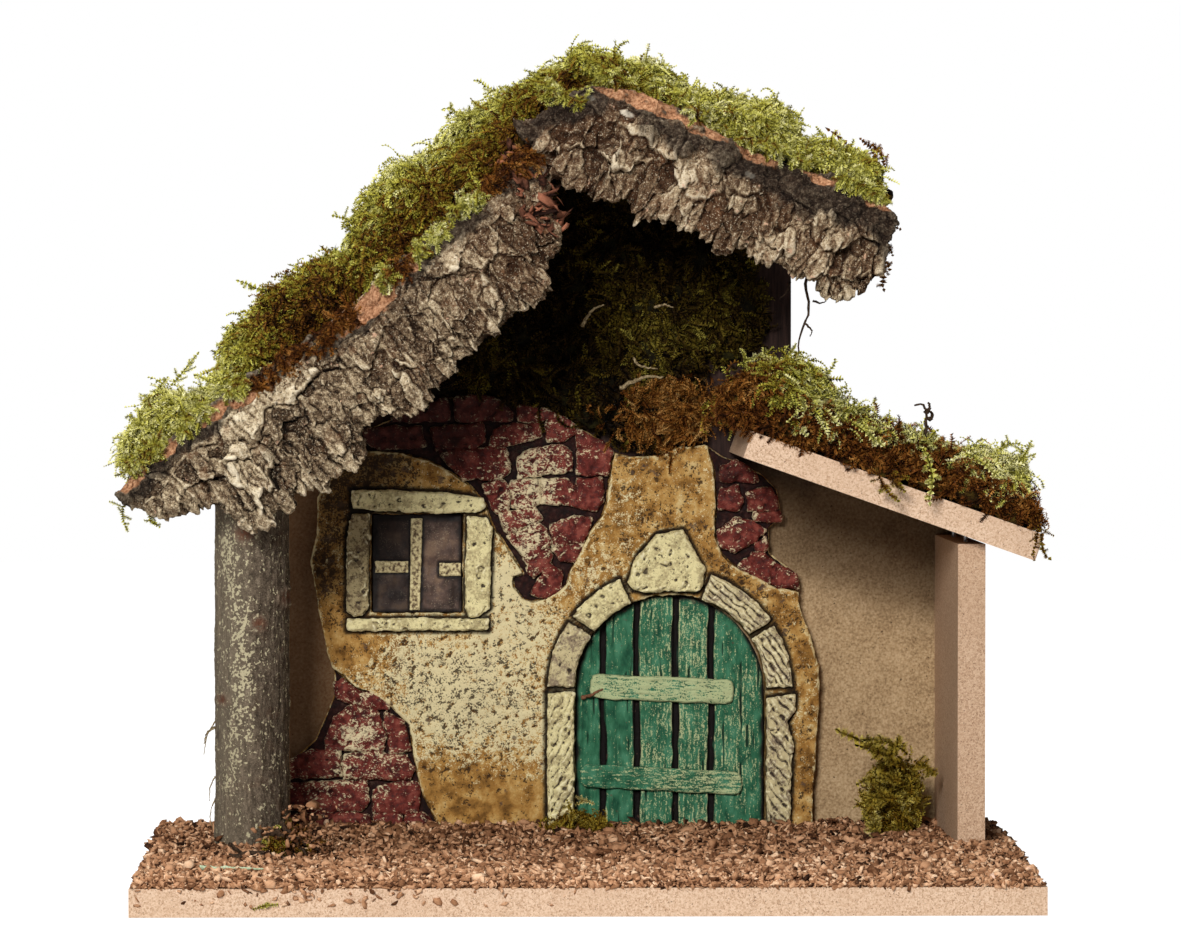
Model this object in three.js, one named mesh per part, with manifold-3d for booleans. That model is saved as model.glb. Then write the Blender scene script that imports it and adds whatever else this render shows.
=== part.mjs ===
// Nativity stable: particle board house, cork bark eaves, moss roofs and a cast, painted facade.
// Millimetres, +Z up, the front faces -Y. The origin is the middle of the base's underside.
import * as THREE from 'three';
import { mergeVertices } from 'three/addons/utils/BufferGeometryUtils.js';
import Module from 'manifold-3d';

const wasm = await Module();
wasm.setup();

// Boards: the base, the right wall and the roofs are cut from one particle board.
const boardThickness = 10;
const baseWidth = 320;
const baseDepth = 174;
const panelThickness = 6;
const panelLeftX = -118;
const gableRightX = 81;
const seam = 0.3;

// Roofs: the ridge height is above the base, pitches are in degrees, lengths run down the slopes.
const ridgeX = 10;
const ridgeHeight = 281;
const leftPitch = 39.5;
const rightPitch = 23;
const leftRoofLength = 224;
const rightRoofLength = 107;
const roofDepth = 104;
const leanPitch = 19.5;
const leanLength = 112;
const leanOverhang = 18;

// Wall and post: both stand a little behind the front edges of the roofs.
const wallOuterX = 146;
const wallHeight = 116.6;
const wallSetback = 10;
const postCentreX = -121;
const postWidth = 27.5;
const postDepth = 24;
const postSetback = 10;
const postUnevenness = 0.05;

// Facade, measured out from the back panel: a cast backing, the stucco coat and what stands on it.
const backingThickness = 4;
const stuccoThickness = 4;
const mortarThickness = 1;
const brickRise = 2.4;
const stoneRise = 3;
const keystoneRise = 4;
const doorThickness = 4;
const battenThickness = 2.4;
const paneThickness = 3;
const muntinThickness = 1.6;

// Door: a round arch whose springing is above the base.
const doorCentreX = 34.7;
const doorWidth = 72.5;
const doorSpring = 58;
const doorGap = 0.6;
const archWidth = 10;
const archGap = 0.3;
const plankGroove = 2;
const plankGrooveDepth = 1.2;

// Window opening: left and right edges, bottom and top above the base.
const windowLeft = -78.6;
const windowRight = -43.8;
const windowBottom = 87.2;
const windowTop = 125.1;

// Soft coverings: cork bark fascias, moss pads and the cork litter on the base.
const corkThickness = 12;
const corkWaviness = 2.5;
const leftMossThickness = 21;
const rightMossThickness = 17;
const leanMossThickness = 24;
const gableMossThickness = 8;
const mossLump = 3.5;
const ridgeMossHalf = 6;
const ridgeMossShoulder = 0.7;
const ridgeMossCrown = 1.1;
const leftMossMargin = 6;
const leanMossReach = 10;
const litterThickness = 2.5;
const litterBank = 4.5;
const litterMargin = 1.5;
const litterFlat = 15;
const heapSpread = 17;
const heapShare = 0.8;
const litterMoundGap = 19;
const litterMoundHeight = 1.7;
const litterMoundTurn = 0.8;

// Loose clumps of moss on the base: half widths, half depths, heights and what they keep clear of.
const bushRadius = 12;
const bushHeight = 36;
const bushToWall = 7;
const bushToPanel = 14;
const tuftHalfWidth = 14;
const tuftHalfDepth = 8;
const tuftHeight = 15;
const tuftToPier = 5;
const footMossHalfWidth = 9;
const footMossHalfDepth = 7;
const footMossHeight = 14;
const footMossToPost = 10;

// Fasteners: panel pins and countersunk screws.
const pinLength = 20;
const pinRadius = 0.8;
const pinHeadRadius = 1.7;
const pinHeadThickness = 0.6;
const screwLength = 32;
const screwRadius = 1.5;
const screwHeadRadius = 3.2;
const screwHeadDepth = 2.6;
const screwSink = 0.5;
const boreGap = 0.15;
const pinSink = 4;

const frontY = -(baseDepth + panelThickness) / 2;
const panelFaceY = frontY + baseDepth;
const panelBackY = panelFaceY + panelThickness;
const roofFrontY = panelFaceY - roofDepth;
const wallFrontY = roofFrontY + wallSetback;
const wallInnerX = wallOuterX - boardThickness;
const postCentreY = roofFrontY + postSetback + postDepth / 2;
const backingFaceY = panelFaceY - backingThickness;
const stuccoFaceY = backingFaceY - stuccoThickness;
const doorFaceY = panelFaceY - doorThickness;
const paneFaceY = panelFaceY - paneThickness;
const doorRadius = doorWidth / 2;

const radians = THREE.MathUtils.degToRad;

// A slope is a place with a tilt: along runs down to the right, across stands square to it.
function slope(x, z, pitch) {
  const angle = radians(pitch);
  const along = [Math.cos(angle), -Math.sin(angle)];
  const across = [Math.sin(angle), Math.cos(angle)];
  const point = (a, c) => [x + a * along[0] + c * across[0], z + a * along[1] + c * across[1]];
  const group = new THREE.Group();
  group.position.set(x, 0, z);
  group.rotation.y = angle;
  return { group, point, tilt: Math.tan(angle) };
}

// The height of a slope's surface above the base at a given x.
function surface(roof, x, across) {
  const [startX, startZ] = roof.point(0, across);
  return startZ - (x - startX) * roof.tilt;
}

const leftRoof = slope(ridgeX, ridgeHeight, -leftPitch);
const rightRoof = slope(ridgeX, ridgeHeight, rightPitch);
const leanRoof = slope(wallOuterX, wallHeight + seam, leanPitch);

const stable = new THREE.Group();
const house = new THREE.Group();
house.position.z = boardThickness;
stable.add(house);
house.add(leftRoof.group, rightRoof.group, leanRoof.group);

// Materials, one function for each kind of surface.
const standard = (color, roughness) => new THREE.MeshStandardMaterial({ color, roughness, metalness: 0 });
const particleBoard = () => standard('#c79e7b', 0.85);
const stainedPanel = () => standard('#8a6a4e', 0.8);
const bark = () => standard('#7d7468', 0.95);
const postBark = () => standard('#7c6f5c', 0.9);
const greenMoss = () => standard('#7f8f3a', 1);
const darkMoss = () => standard('#4d4a1c', 1);
const corkCrumb = () => standard('#a9795a', 0.95);
const stucco = () => standard('#c99a4e', 0.75);
const brick = () => standard('#7a2a2a', 0.7);
const paleStone = () => standard('#d9d29a', 0.75);
const greenDoor = () => standard('#2f7a55', 0.6);
const paleBatten = () => standard('#a9bf92', 0.65);
const dullPane = () => standard('#5f4c48', 0.6);
const driedTwig = () => standard('#5a3a22', 0.9);
const zincSteel = () => new THREE.MeshStandardMaterial({ color: '#a8a8a8', roughness: 0.4, metalness: 1 });

function add(parent, name, geometry, material) {
  const mesh = new THREE.Mesh(geometry, material);
  mesh.name = name;
  parent.add(mesh);
  return mesh;
}

// Solids for cutting and joining.
function toSolid(geometry) {
  const bare = geometry.clone();
  bare.deleteAttribute('normal');
  bare.deleteAttribute('uv');
  const merged = mergeVertices(bare, 1e-4);
  const vertProperties = new Float32Array(merged.attributes.position.array);
  const triVerts = new Uint32Array(merged.index.array);
  return new wasm.Manifold(new wasm.Mesh({ numProp: 3, vertProperties, triVerts }));
}

function toGeometry(solid) {
  const { vertProperties, triVerts } = solid.getMesh();
  const geometry = new THREE.BufferGeometry();
  geometry.setAttribute('position', new THREE.BufferAttribute(vertProperties, 3));
  geometry.setIndex(new THREE.BufferAttribute(triVerts, 1));
  geometry.computeVertexNormals();
  return geometry;
}

function cut(geometry, cutters) {
  let solid = toSolid(geometry);
  for (const cutter of cutters) {
    solid = solid.subtract(toSolid(cutter));
  }
  return toGeometry(solid);
}

// An outline of [x, z] points, extruded from backY forward to faceY.
function prism(outline, backY, faceY) {
  const shape = new THREE.Shape(outline.map(([x, z]) => new THREE.Vector2(x, z)));
  const geometry = new THREE.ExtrudeGeometry(shape, { depth: backY - faceY, bevelEnabled: false });
  geometry.rotateX(Math.PI / 2);
  geometry.translate(0, backY, 0);
  return geometry;
}

// The same, with the face drawn in by a chamfer so that its edges catch the light.
function chamferedPrism(outline, backY, faceY, chamfer) {
  const shoulderY = faceY + chamfer;
  const rings = [[outline, backY], [outline, shoulderY], [inset(outline, chamfer), faceY]];
  const count = outline.length;
  const position = rings.flatMap(([points, y]) => points.flatMap(([x, z]) => [x, y, z]));
  const caps = THREE.ShapeUtils.triangulateShape(outline.map(([x, z]) => new THREE.Vector2(x, z)), []);
  const forward = THREE.ShapeUtils.area(outline.map(([x, z]) => new THREE.Vector2(x, z))) > 0;
  const index = [];
  const triangle = (a, b, c) => index.push(...(forward ? [a, b, c] : [a, c, b]));
  for (const [a, b, c] of caps) {
    index.push(...[a, c, b]);
    index.push(...[a, b, c].map((corner) => corner + 2 * count));
  }
  for (let ring = 0; ring < 2; ring++) {
    for (let i = 0; i < count; i++) {
      const here = ring * count + i;
      const next = ring * count + (i + 1) % count;
      triangle(here, next, next + count);
      triangle(here, next + count, here + count);
    }
  }
  const geometry = new THREE.BufferGeometry();
  geometry.setAttribute('position', new THREE.Float32BufferAttribute(position, 3));
  geometry.setIndex(index);
  geometry.computeVertexNormals();
  return geometry;
}

// Moves each corner of an outline inward by a distance, square to its two edges.
function inset(outline, distance) {
  const corners = outline.map(([x, z]) => new THREE.Vector2(x, z));
  const turn = Math.sign(THREE.ShapeUtils.area(corners));
  return corners.map((corner, i) => {
    const before = corners[(i + corners.length - 1) % corners.length];
    const after = corners[(i + 1) % corners.length];
    const into = corner.clone().sub(before).normalize();
    const away = after.clone().sub(corner).normalize();
    const normal = new THREE.Vector2(-(into.y + away.y), into.x + away.x).normalize();
    const square = Math.max(0.5, normal.x * -away.y + normal.y * away.x);
    const moved = corner.clone().addScaledVector(normal, turn * distance / square);
    return [moved.x, moved.y];
  });
}

const rectangle = (left, right, bottom, top) => [[left, bottom], [right, bottom], [right, top], [left, top]];

// A height that follows a chain of [x, z] points.
function follow(chain) {
  return (x) => {
    let i = 1;
    while (i < chain.length - 1 && chain[i][0] < x) {
      i += 1;
    }
    const [startX, startZ] = chain[i - 1];
    const [endX, endZ] = chain[i];
    const share = THREE.MathUtils.clamp((x - startX) / (endX - startX), 0, 1);
    return startZ + (endZ - startZ) * share;
  };
}

// A closed sheet between two edges: flat at y = 0 behind, and swelling forward by bulge in front.
function sheet({ from, to, columns, rows, low, high, bulge }) {
  const position = [];
  for (const side of [0, 1]) {
    for (let i = 0; i <= columns; i++) {
      const u = i / columns;
      const x = from + (to - from) * u;
      for (let j = 0; j <= rows; j++) {
        const v = j / rows;
        const z = low(x) + (high(x) - low(x)) * v;
        position.push(x, side ? -bulge(x, z, u, v) : 0, z);
      }
    }
  }
  const back = (i, j) => i * (rows + 1) + j;
  const face = (i, j) => back(i, j) + (columns + 1) * (rows + 1);
  const index = [];
  const quad = (a, b, c, d) => index.push(a, b, c, a, c, d);
  for (let i = 0; i < columns; i++) {
    for (let j = 0; j < rows; j++) {
      quad(face(i, j), face(i + 1, j), face(i + 1, j + 1), face(i, j + 1));
      quad(back(i, j), back(i, j + 1), back(i + 1, j + 1), back(i + 1, j));
    }
    quad(back(i, 0), back(i + 1, 0), face(i + 1, 0), face(i, 0));
    quad(face(i, rows), face(i + 1, rows), back(i + 1, rows), back(i, rows));
  }
  for (let j = 0; j < rows; j++) {
    quad(face(0, j), face(0, j + 1), back(0, j + 1), back(0, j));
    quad(back(columns, j), back(columns, j + 1), face(columns, j + 1), face(columns, j));
  }
  const geometry = new THREE.BufferGeometry();
  geometry.setAttribute('position', new THREE.Float32BufferAttribute(position, 3));
  geometry.setIndex(index);
  geometry.computeVertexNormals();
  return geometry;
}

// A sheet laid on its back, so that it swells upward; low and high are then depths in y.
const pad = (options) => sheet(options).rotateX(-Math.PI / 2);

// A rim that is thinner at the edges and full a little way in; u and v run from 0 to 1.
function rim(u, v) {
  const edge = Math.min(u, 1 - u, v, 1 - v);
  return 0.6 + 0.4 * Math.sqrt(Math.min(1, edge / 0.12));
}

function lumps(x, y) {
  return Math.sin(x / 6.1 + y / 17) * Math.cos(y / 8.3 - x / 23) + 0.5 * Math.sin(x / 3.7 + y / 5.3);
}

// Fasteners, turned about the z axis with the point at +z and the head's top at z = 0.
function turned(profile) {
  const points = profile.map(([radius, height]) => new THREE.Vector2(radius, height));
  const geometry = new THREE.LatheGeometry(points, 8);
  geometry.rotateX(Math.PI / 2);
  return geometry;
}

const pinProfile = (gap, sink) => [
  [0, -sink], [pinHeadRadius + gap, -sink], [pinHeadRadius + gap, pinHeadThickness + gap],
  [pinRadius + gap, pinHeadThickness + gap], [pinRadius + gap, pinLength - 2 + gap], [0, pinLength + gap],
];

const screwProfile = (gap, sink) => [
  [0, -sink], [screwHeadRadius + gap, -sink], [screwHeadRadius + gap, 0.4],
  [screwRadius + gap, screwHeadDepth + gap], [screwRadius + gap, screwLength - 4 + gap],
  [0, screwLength + gap],
];

// Where a fastener goes: a group that carries it, a point on the outer face and its direction.
function fastener(parent, bodyProfile, boreProfile, [x, y, z], aim) {
  const turn = new THREE.Quaternion().setFromUnitVectors(new THREE.Vector3(0, 0, 1), aim);
  const matrix = new THREE.Matrix4().compose(new THREE.Vector3(x, y, z), turn, new THREE.Vector3(1, 1, 1));
  const place = (profile) => turned(profile).applyMatrix4(matrix);
  return { parent, body: place(bodyProfile), bore: place(boreProfile) };
}

const forward = new THREE.Vector3(0, -1, 0);
const upward = new THREE.Vector3(0, 0, 1);
const downward = new THREE.Vector3(0, 0, -1);

// Panel pins from behind, at [x, z] on the panel, with the board that each one holds.
const backPinPoints = {
  base_pin_left: [-100, -boardThickness / 2],
  base_pin_middle: [0, -boardThickness / 2],
  base_pin_right: [100, -boardThickness / 2],
  wall_pin_lower: [wallOuterX - boardThickness / 2, 30],
  wall_pin_upper: [wallOuterX - boardThickness / 2, 90],
  left_roof_pin_lower: leftRoof.point(-130, -boardThickness / 2),
  left_roof_pin_upper: leftRoof.point(-50, -boardThickness / 2),
  right_roof_pin_upper: rightRoof.point(22, -boardThickness / 2),
  right_roof_pin_lower: rightRoof.point(62, -boardThickness / 2),
  lean_to_pin_upper: leanRoof.point(-72, boardThickness / 2),
  lean_to_pin_lower: leanRoof.point(-24, boardThickness / 2),
};
const backPins = Object.fromEntries(Object.entries(backPinPoints).map(([name, [x, z]]) => [
  name,
  fastener(house, pinProfile(0, 0), pinProfile(boreGap, pinSink), [x, panelBackY, z], forward),
]));

// Two pins go down through the lean-to board into the wall, and one through the left roof into the post.
const pinsBetween = (count, start, end) => Array.from({ length: count }, (_, i) => (
  start + (end - start) * (i + 0.5) / count));
const pinDown = (roof, x, y, across) => fastener(
  house, pinProfile(0, 0), pinProfile(boreGap, pinSink),
  [x, y, surface(roof, x, across) - pinHeadRadius * Math.abs(roof.tilt)], downward);
const wallTopPins = pinsBetween(2, wallFrontY, panelFaceY).map((y) => (
  pinDown(leanRoof, wallOuterX - boardThickness / 2, y, boardThickness)));
const postTopPin = pinDown(leftRoof, postCentreX, postCentreY, 0);

// Screws go up through the base into the wall and the post.
const screwAt = (x, y) => fastener(
  stable, screwProfile(0, 0), screwProfile(boreGap, screwSink), [x, y, screwSink], upward);
const wallScrews = pinsBetween(2, wallFrontY, panelFaceY).map((y) => (
  screwAt(wallOuterX - boardThickness / 2, y)));
const postScrew = screwAt(postCentreX, postCentreY);

const boresOf = (names) => names.map((name) => backPins[name].bore);
const raised = (geometry, height) => geometry.clone().translate(0, 0, height);

// Base board: a plain rectangle with countersunk holes for the screws.
const baseBox = new THREE.BoxGeometry(baseWidth, baseDepth, boardThickness);
baseBox.translate(0, frontY + baseDepth / 2, boardThickness / 2);
const basePinBores = boresOf(['base_pin_left', 'base_pin_middle', 'base_pin_right']);
add(stable, 'base_board', cut(baseBox, [
  ...[...wallScrews, postScrew].map((screw) => screw.bore),
  ...basePinBores.map((bore) => raised(bore, boardThickness)),
]), particleBoard());

// Back panel: the outline of the whole house, pinned on the back edges of the boards.
const panelOutline = [
  [panelLeftX, -boardThickness],
  [wallOuterX, -boardThickness],
  [wallOuterX, surface(leanRoof, wallOuterX, boardThickness)],
  [gableRightX, surface(leanRoof, gableRightX, boardThickness)],
  [gableRightX, surface(rightRoof, gableRightX, 0)],
  [ridgeX, ridgeHeight],
  [panelLeftX, surface(leftRoof, panelLeftX, 0)],
];
add(house, 'back_panel', cut(
  prism(panelOutline, panelBackY, panelFaceY), boresOf(Object.keys(backPins))), stainedPanel());

// Right wall: cut square at the top, so the lean-to board rests on its outer edge.
const wallOutline = rectangle(wallInnerX, wallOuterX, 0, wallHeight);
add(house, 'right_side_wall', cut(prism(wallOutline, panelFaceY, wallFrontY), [
  ...boresOf(['wall_pin_lower', 'wall_pin_upper']),
  ...wallTopPins.map((pin) => pin.bore),
  ...wallScrews.map((screw) => raised(screw.bore, -boardThickness)),
]), particleBoard());

// Roof boards: drawn in their slopes' own frames, so bores that stand in the house are turned in first.
function intoSlope(roof, geometry) {
  roof.group.updateMatrix();
  return geometry.clone().applyMatrix4(roof.group.matrix.clone().invert());
}

function roofBoard(name, roof, profile, bores) {
  const solid = cut(prism(profile, panelFaceY, roofFrontY), bores.map((bore) => intoSlope(roof, bore)));
  add(roof.group, name, solid, particleBoard());
}

const leftMitre = boardThickness * Math.tan(radians(leftPitch));
const rightMitre = boardThickness * Math.tan(radians(rightPitch));
roofBoard('left_roof_board', leftRoof, [
  [-leftRoofLength, -boardThickness], [-leftMitre - seam, -boardThickness], [-seam, 0], [-leftRoofLength, 0],
], [...boresOf(['left_roof_pin_lower', 'left_roof_pin_upper']), postTopPin.bore]);
roofBoard('right_roof_board', rightRoof, [
  [rightMitre + seam, -boardThickness], [rightRoofLength, -boardThickness], [rightRoofLength, 0], [seam, 0],
], boresOf(['right_roof_pin_upper', 'right_roof_pin_lower']));
const leanProfile = rectangle(leanOverhang - leanLength, leanOverhang, 0, boardThickness);
roofBoard('lean_to_roof_board', leanRoof, leanProfile, [
  ...boresOf(['lean_to_pin_upper', 'lean_to_pin_lower']), ...wallTopPins.map((pin) => pin.bore)]);

// Left post: half of a split log, round and barked in front, sawn flat behind.
function postRing(swell, height) {
  const sides = 12;
  const ring = [];
  for (let i = 0; i <= sides; i++) {
    const angle = Math.PI * (1 + i / sides);
    const reach = 1 + postUnevenness * Math.sin(3 * angle + swell) * Math.sin(angle);
    const x = postCentreX + postWidth / 2 * Math.cos(angle) * reach;
    const y = postCentreY + postDepth / 2 + postDepth * Math.sin(angle) * reach;
    ring.push([x, y, height * (surface(leftRoof, x, -boardThickness) - seam)]);
  }
  return ring;
}

function loft(rings) {
  const count = rings[0].length;
  const index = [];
  for (let ring = 0; ring + 1 < rings.length; ring++) {
    for (let i = 0; i < count; i++) {
      const here = ring * count + i;
      const next = ring * count + (i + 1) % count;
      index.push(here, next, next + count, here, next + count, here + count);
    }
  }
  const top = (rings.length - 1) * count;
  for (let i = 1; i + 1 < count; i++) {
    index.push(0, i + 1, i, top, top + i, top + i + 1);
  }
  const geometry = new THREE.BufferGeometry();
  geometry.setAttribute('position', new THREE.Float32BufferAttribute(rings.flat(2), 3));
  geometry.setIndex(index);
  geometry.computeVertexNormals();
  return geometry;
}

const postRings = [0, 0.12, 0.3, 0.48, 0.62, 0.8, 1].map((height, i) => postRing(1.7 * i, height));
add(house, 'left_post', cut(loft(postRings), [
  postTopPin.bore, raised(postScrew.bore, -boardThickness)]), postBark());

// Cork bark fascias: ragged strips on the front edges of the main roof, in their slopes' frames.
const leftCorkTop = [
  [-230, 1], [-215, 5], [-184, 4], [-168, 3.5], [-145, 0.5], [-123, -1.5], [-107, 1.5], [-84, 1], [-70, 1],
  [-50, 4], [-39, -4],
];
const leftCorkBottom = [
  [-230, -4], [-223, -16], [-214, -24.5], [-207, -22.5], [-204, -20], [-201, -39], [-191, -41],
  [-180, -43], [-165, -46.5], [-152, -45.5], [-149, -37], [-142, -36], [-133, -42], [-124, -42.5],
  [-111, -44], [-105, -39.5], [-98, -42], [-81, -41], [-70, -40], [-63, -40.5], [-60, -34],
  [-51, -35.5], [-49, -28], [-43, -23], [-39, -13],
];
const rightCorkTop = [
  [-28, -24], [-21, -21], [-12, -5.5], [-4, 0], [9.5, 3.5], [30, 2.5], [50, -0.5], [70, 0], [88, 2],
  [104, 2.5], [113, -4],
];
const rightCorkBottom = [
  [-28, -27], [-18, -31.5], [-12, -37], [-5, -40], [7, -40.5], [11, -37], [20, -35], [28, -39], [34, -35],
  [50, -36], [59, -39.5], [65, -35], [79, -35.5], [88, -35], [101, -37.5], [108, -36.5], [113, -31],
];

function corkStrip(name, roof, top, bottom, columns) {
  const geometry = sheet({
    from: top[0][0],
    to: top[top.length - 1][0],
    columns,
    rows: 5,
    low: follow(bottom),
    high: follow(top),
    bulge: (x, z, u, v) => (
      corkThickness * rim(u, v) + corkWaviness * Math.sin(x / 2.3 + z / 9) * Math.cos(z / 4.1)),
  });
  geometry.translate(0, roofFrontY - seam, 0);
  add(roof.group, name, geometry, bark());
}
corkStrip('left_cork_fascia', leftRoof, leftCorkTop, leftCorkBottom, 32);
corkStrip('right_cork_fascia', rightRoof, rightCorkTop, rightCorkBottom, 22);

// Moss pads, glued on the roof boards and on the gable.
function mossPad(name, roof, from, to, columns, thickness, floor, backY) {
  const geometry = pad({
    from,
    to,
    columns,
    rows: 9,
    low: () => roofFrontY,
    high: () => backY,
    bulge: (x, y, u, v) => thickness * rim(u, v) + mossLump * lumps(x, y) * rim(u, v) / 2,
  });
  geometry.translate(0, 0, floor + seam);
  add(roof.group, name, geometry, greenMoss());
}
mossPad(
  'left_roof_moss', leftRoof, leftMossMargin - leftRoofLength, -ridgeMossHalf, 22, leftMossThickness,
  0, panelBackY);
mossPad(
  'right_roof_moss', rightRoof, ridgeMossHalf, rightRoofLength + 2, 13, rightMossThickness, 0, panelBackY);
mossPad(
  'lean_to_moss', leanRoof, leanOverhang - leanLength - leanMossReach, leanOverhang + 5, 15, leanMossThickness,
  boardThickness, panelFaceY - seam);

// Ridge moss: a wedge that closes the moss over the ridge, between the ends of the two pads.
const ridgeMossEnd = ridgeMossHalf - seam;
const ridgeFan = [
  [ridgeX, ridgeHeight + seam],
  rightRoof.point(ridgeMossEnd, seam),
  rightRoof.point(ridgeMossEnd, ridgeMossShoulder * rightMossThickness),
  rightRoof.point(-ridgeMossEnd / 3, rightMossThickness),
  [ridgeX, ridgeHeight + ridgeMossCrown * rightMossThickness],
  leftRoof.point(ridgeMossEnd / 3, leftMossThickness),
  leftRoof.point(-ridgeMossEnd, ridgeMossShoulder * leftMossThickness),
  leftRoof.point(-ridgeMossEnd, seam),
];
add(house, 'ridge_moss', prism(ridgeFan, panelBackY, roofFrontY), greenMoss());

const gableMossLow = follow([
  [-70, 168], [-45, 172], [-30, 171], [-4, 163], [14, 152], [27, 150], [40, 156], [44, 184], [66, 184],
]);
const gableMossMargin = 5;
add(house, 'gable_moss', sheet({
  from: -70,
  to: 66,
  columns: 14,
  rows: 8,
  low: gableMossLow,
  high: (x) => Math.min(
    surface(leftRoof, x, -boardThickness), surface(rightRoof, x, -boardThickness)) - gableMossMargin,
  bulge: (x, z, u, v) => gableMossThickness * rim(u, v) + lumps(x, z),
}).translate(0, panelFaceY, 0), darkMoss());

// Facade: a cast backing with a stucco coat, broken away in three places where bricks show.
const facadeOutline = [
  [-110, 0], [88.5, 0], [89.5, 20], [90.5, 39], [91.5, 54], [91, 67], [87.5, 80], [84, 90], [83, 101.5],
  [72.5, 110], [72.5, 119.5], [77.5, 123], [75.5, 134], [70, 139.5], [63, 143.5], [55, 146.5], [48.5, 151],
  [38.5, 150], [31, 147], [20, 146.5], [14, 148], [6.5, 154], [-4.5, 160.5], [-14, 165], [-30, 168.5],
  [-39, 170], [-49.5, 169], [-61, 165], [-67.5, 162], [-81, 156.5], [-88.5, 147], [-99, 131], [-99, 118],
  [-101.5, 106.5], [-98, 84.5], [-95.5, 73.5], [-92.5, 64], [-92.5, 56.5], [-96, 48], [-100, 39],
  [-105, 34.5], [-110, 31],
];

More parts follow.
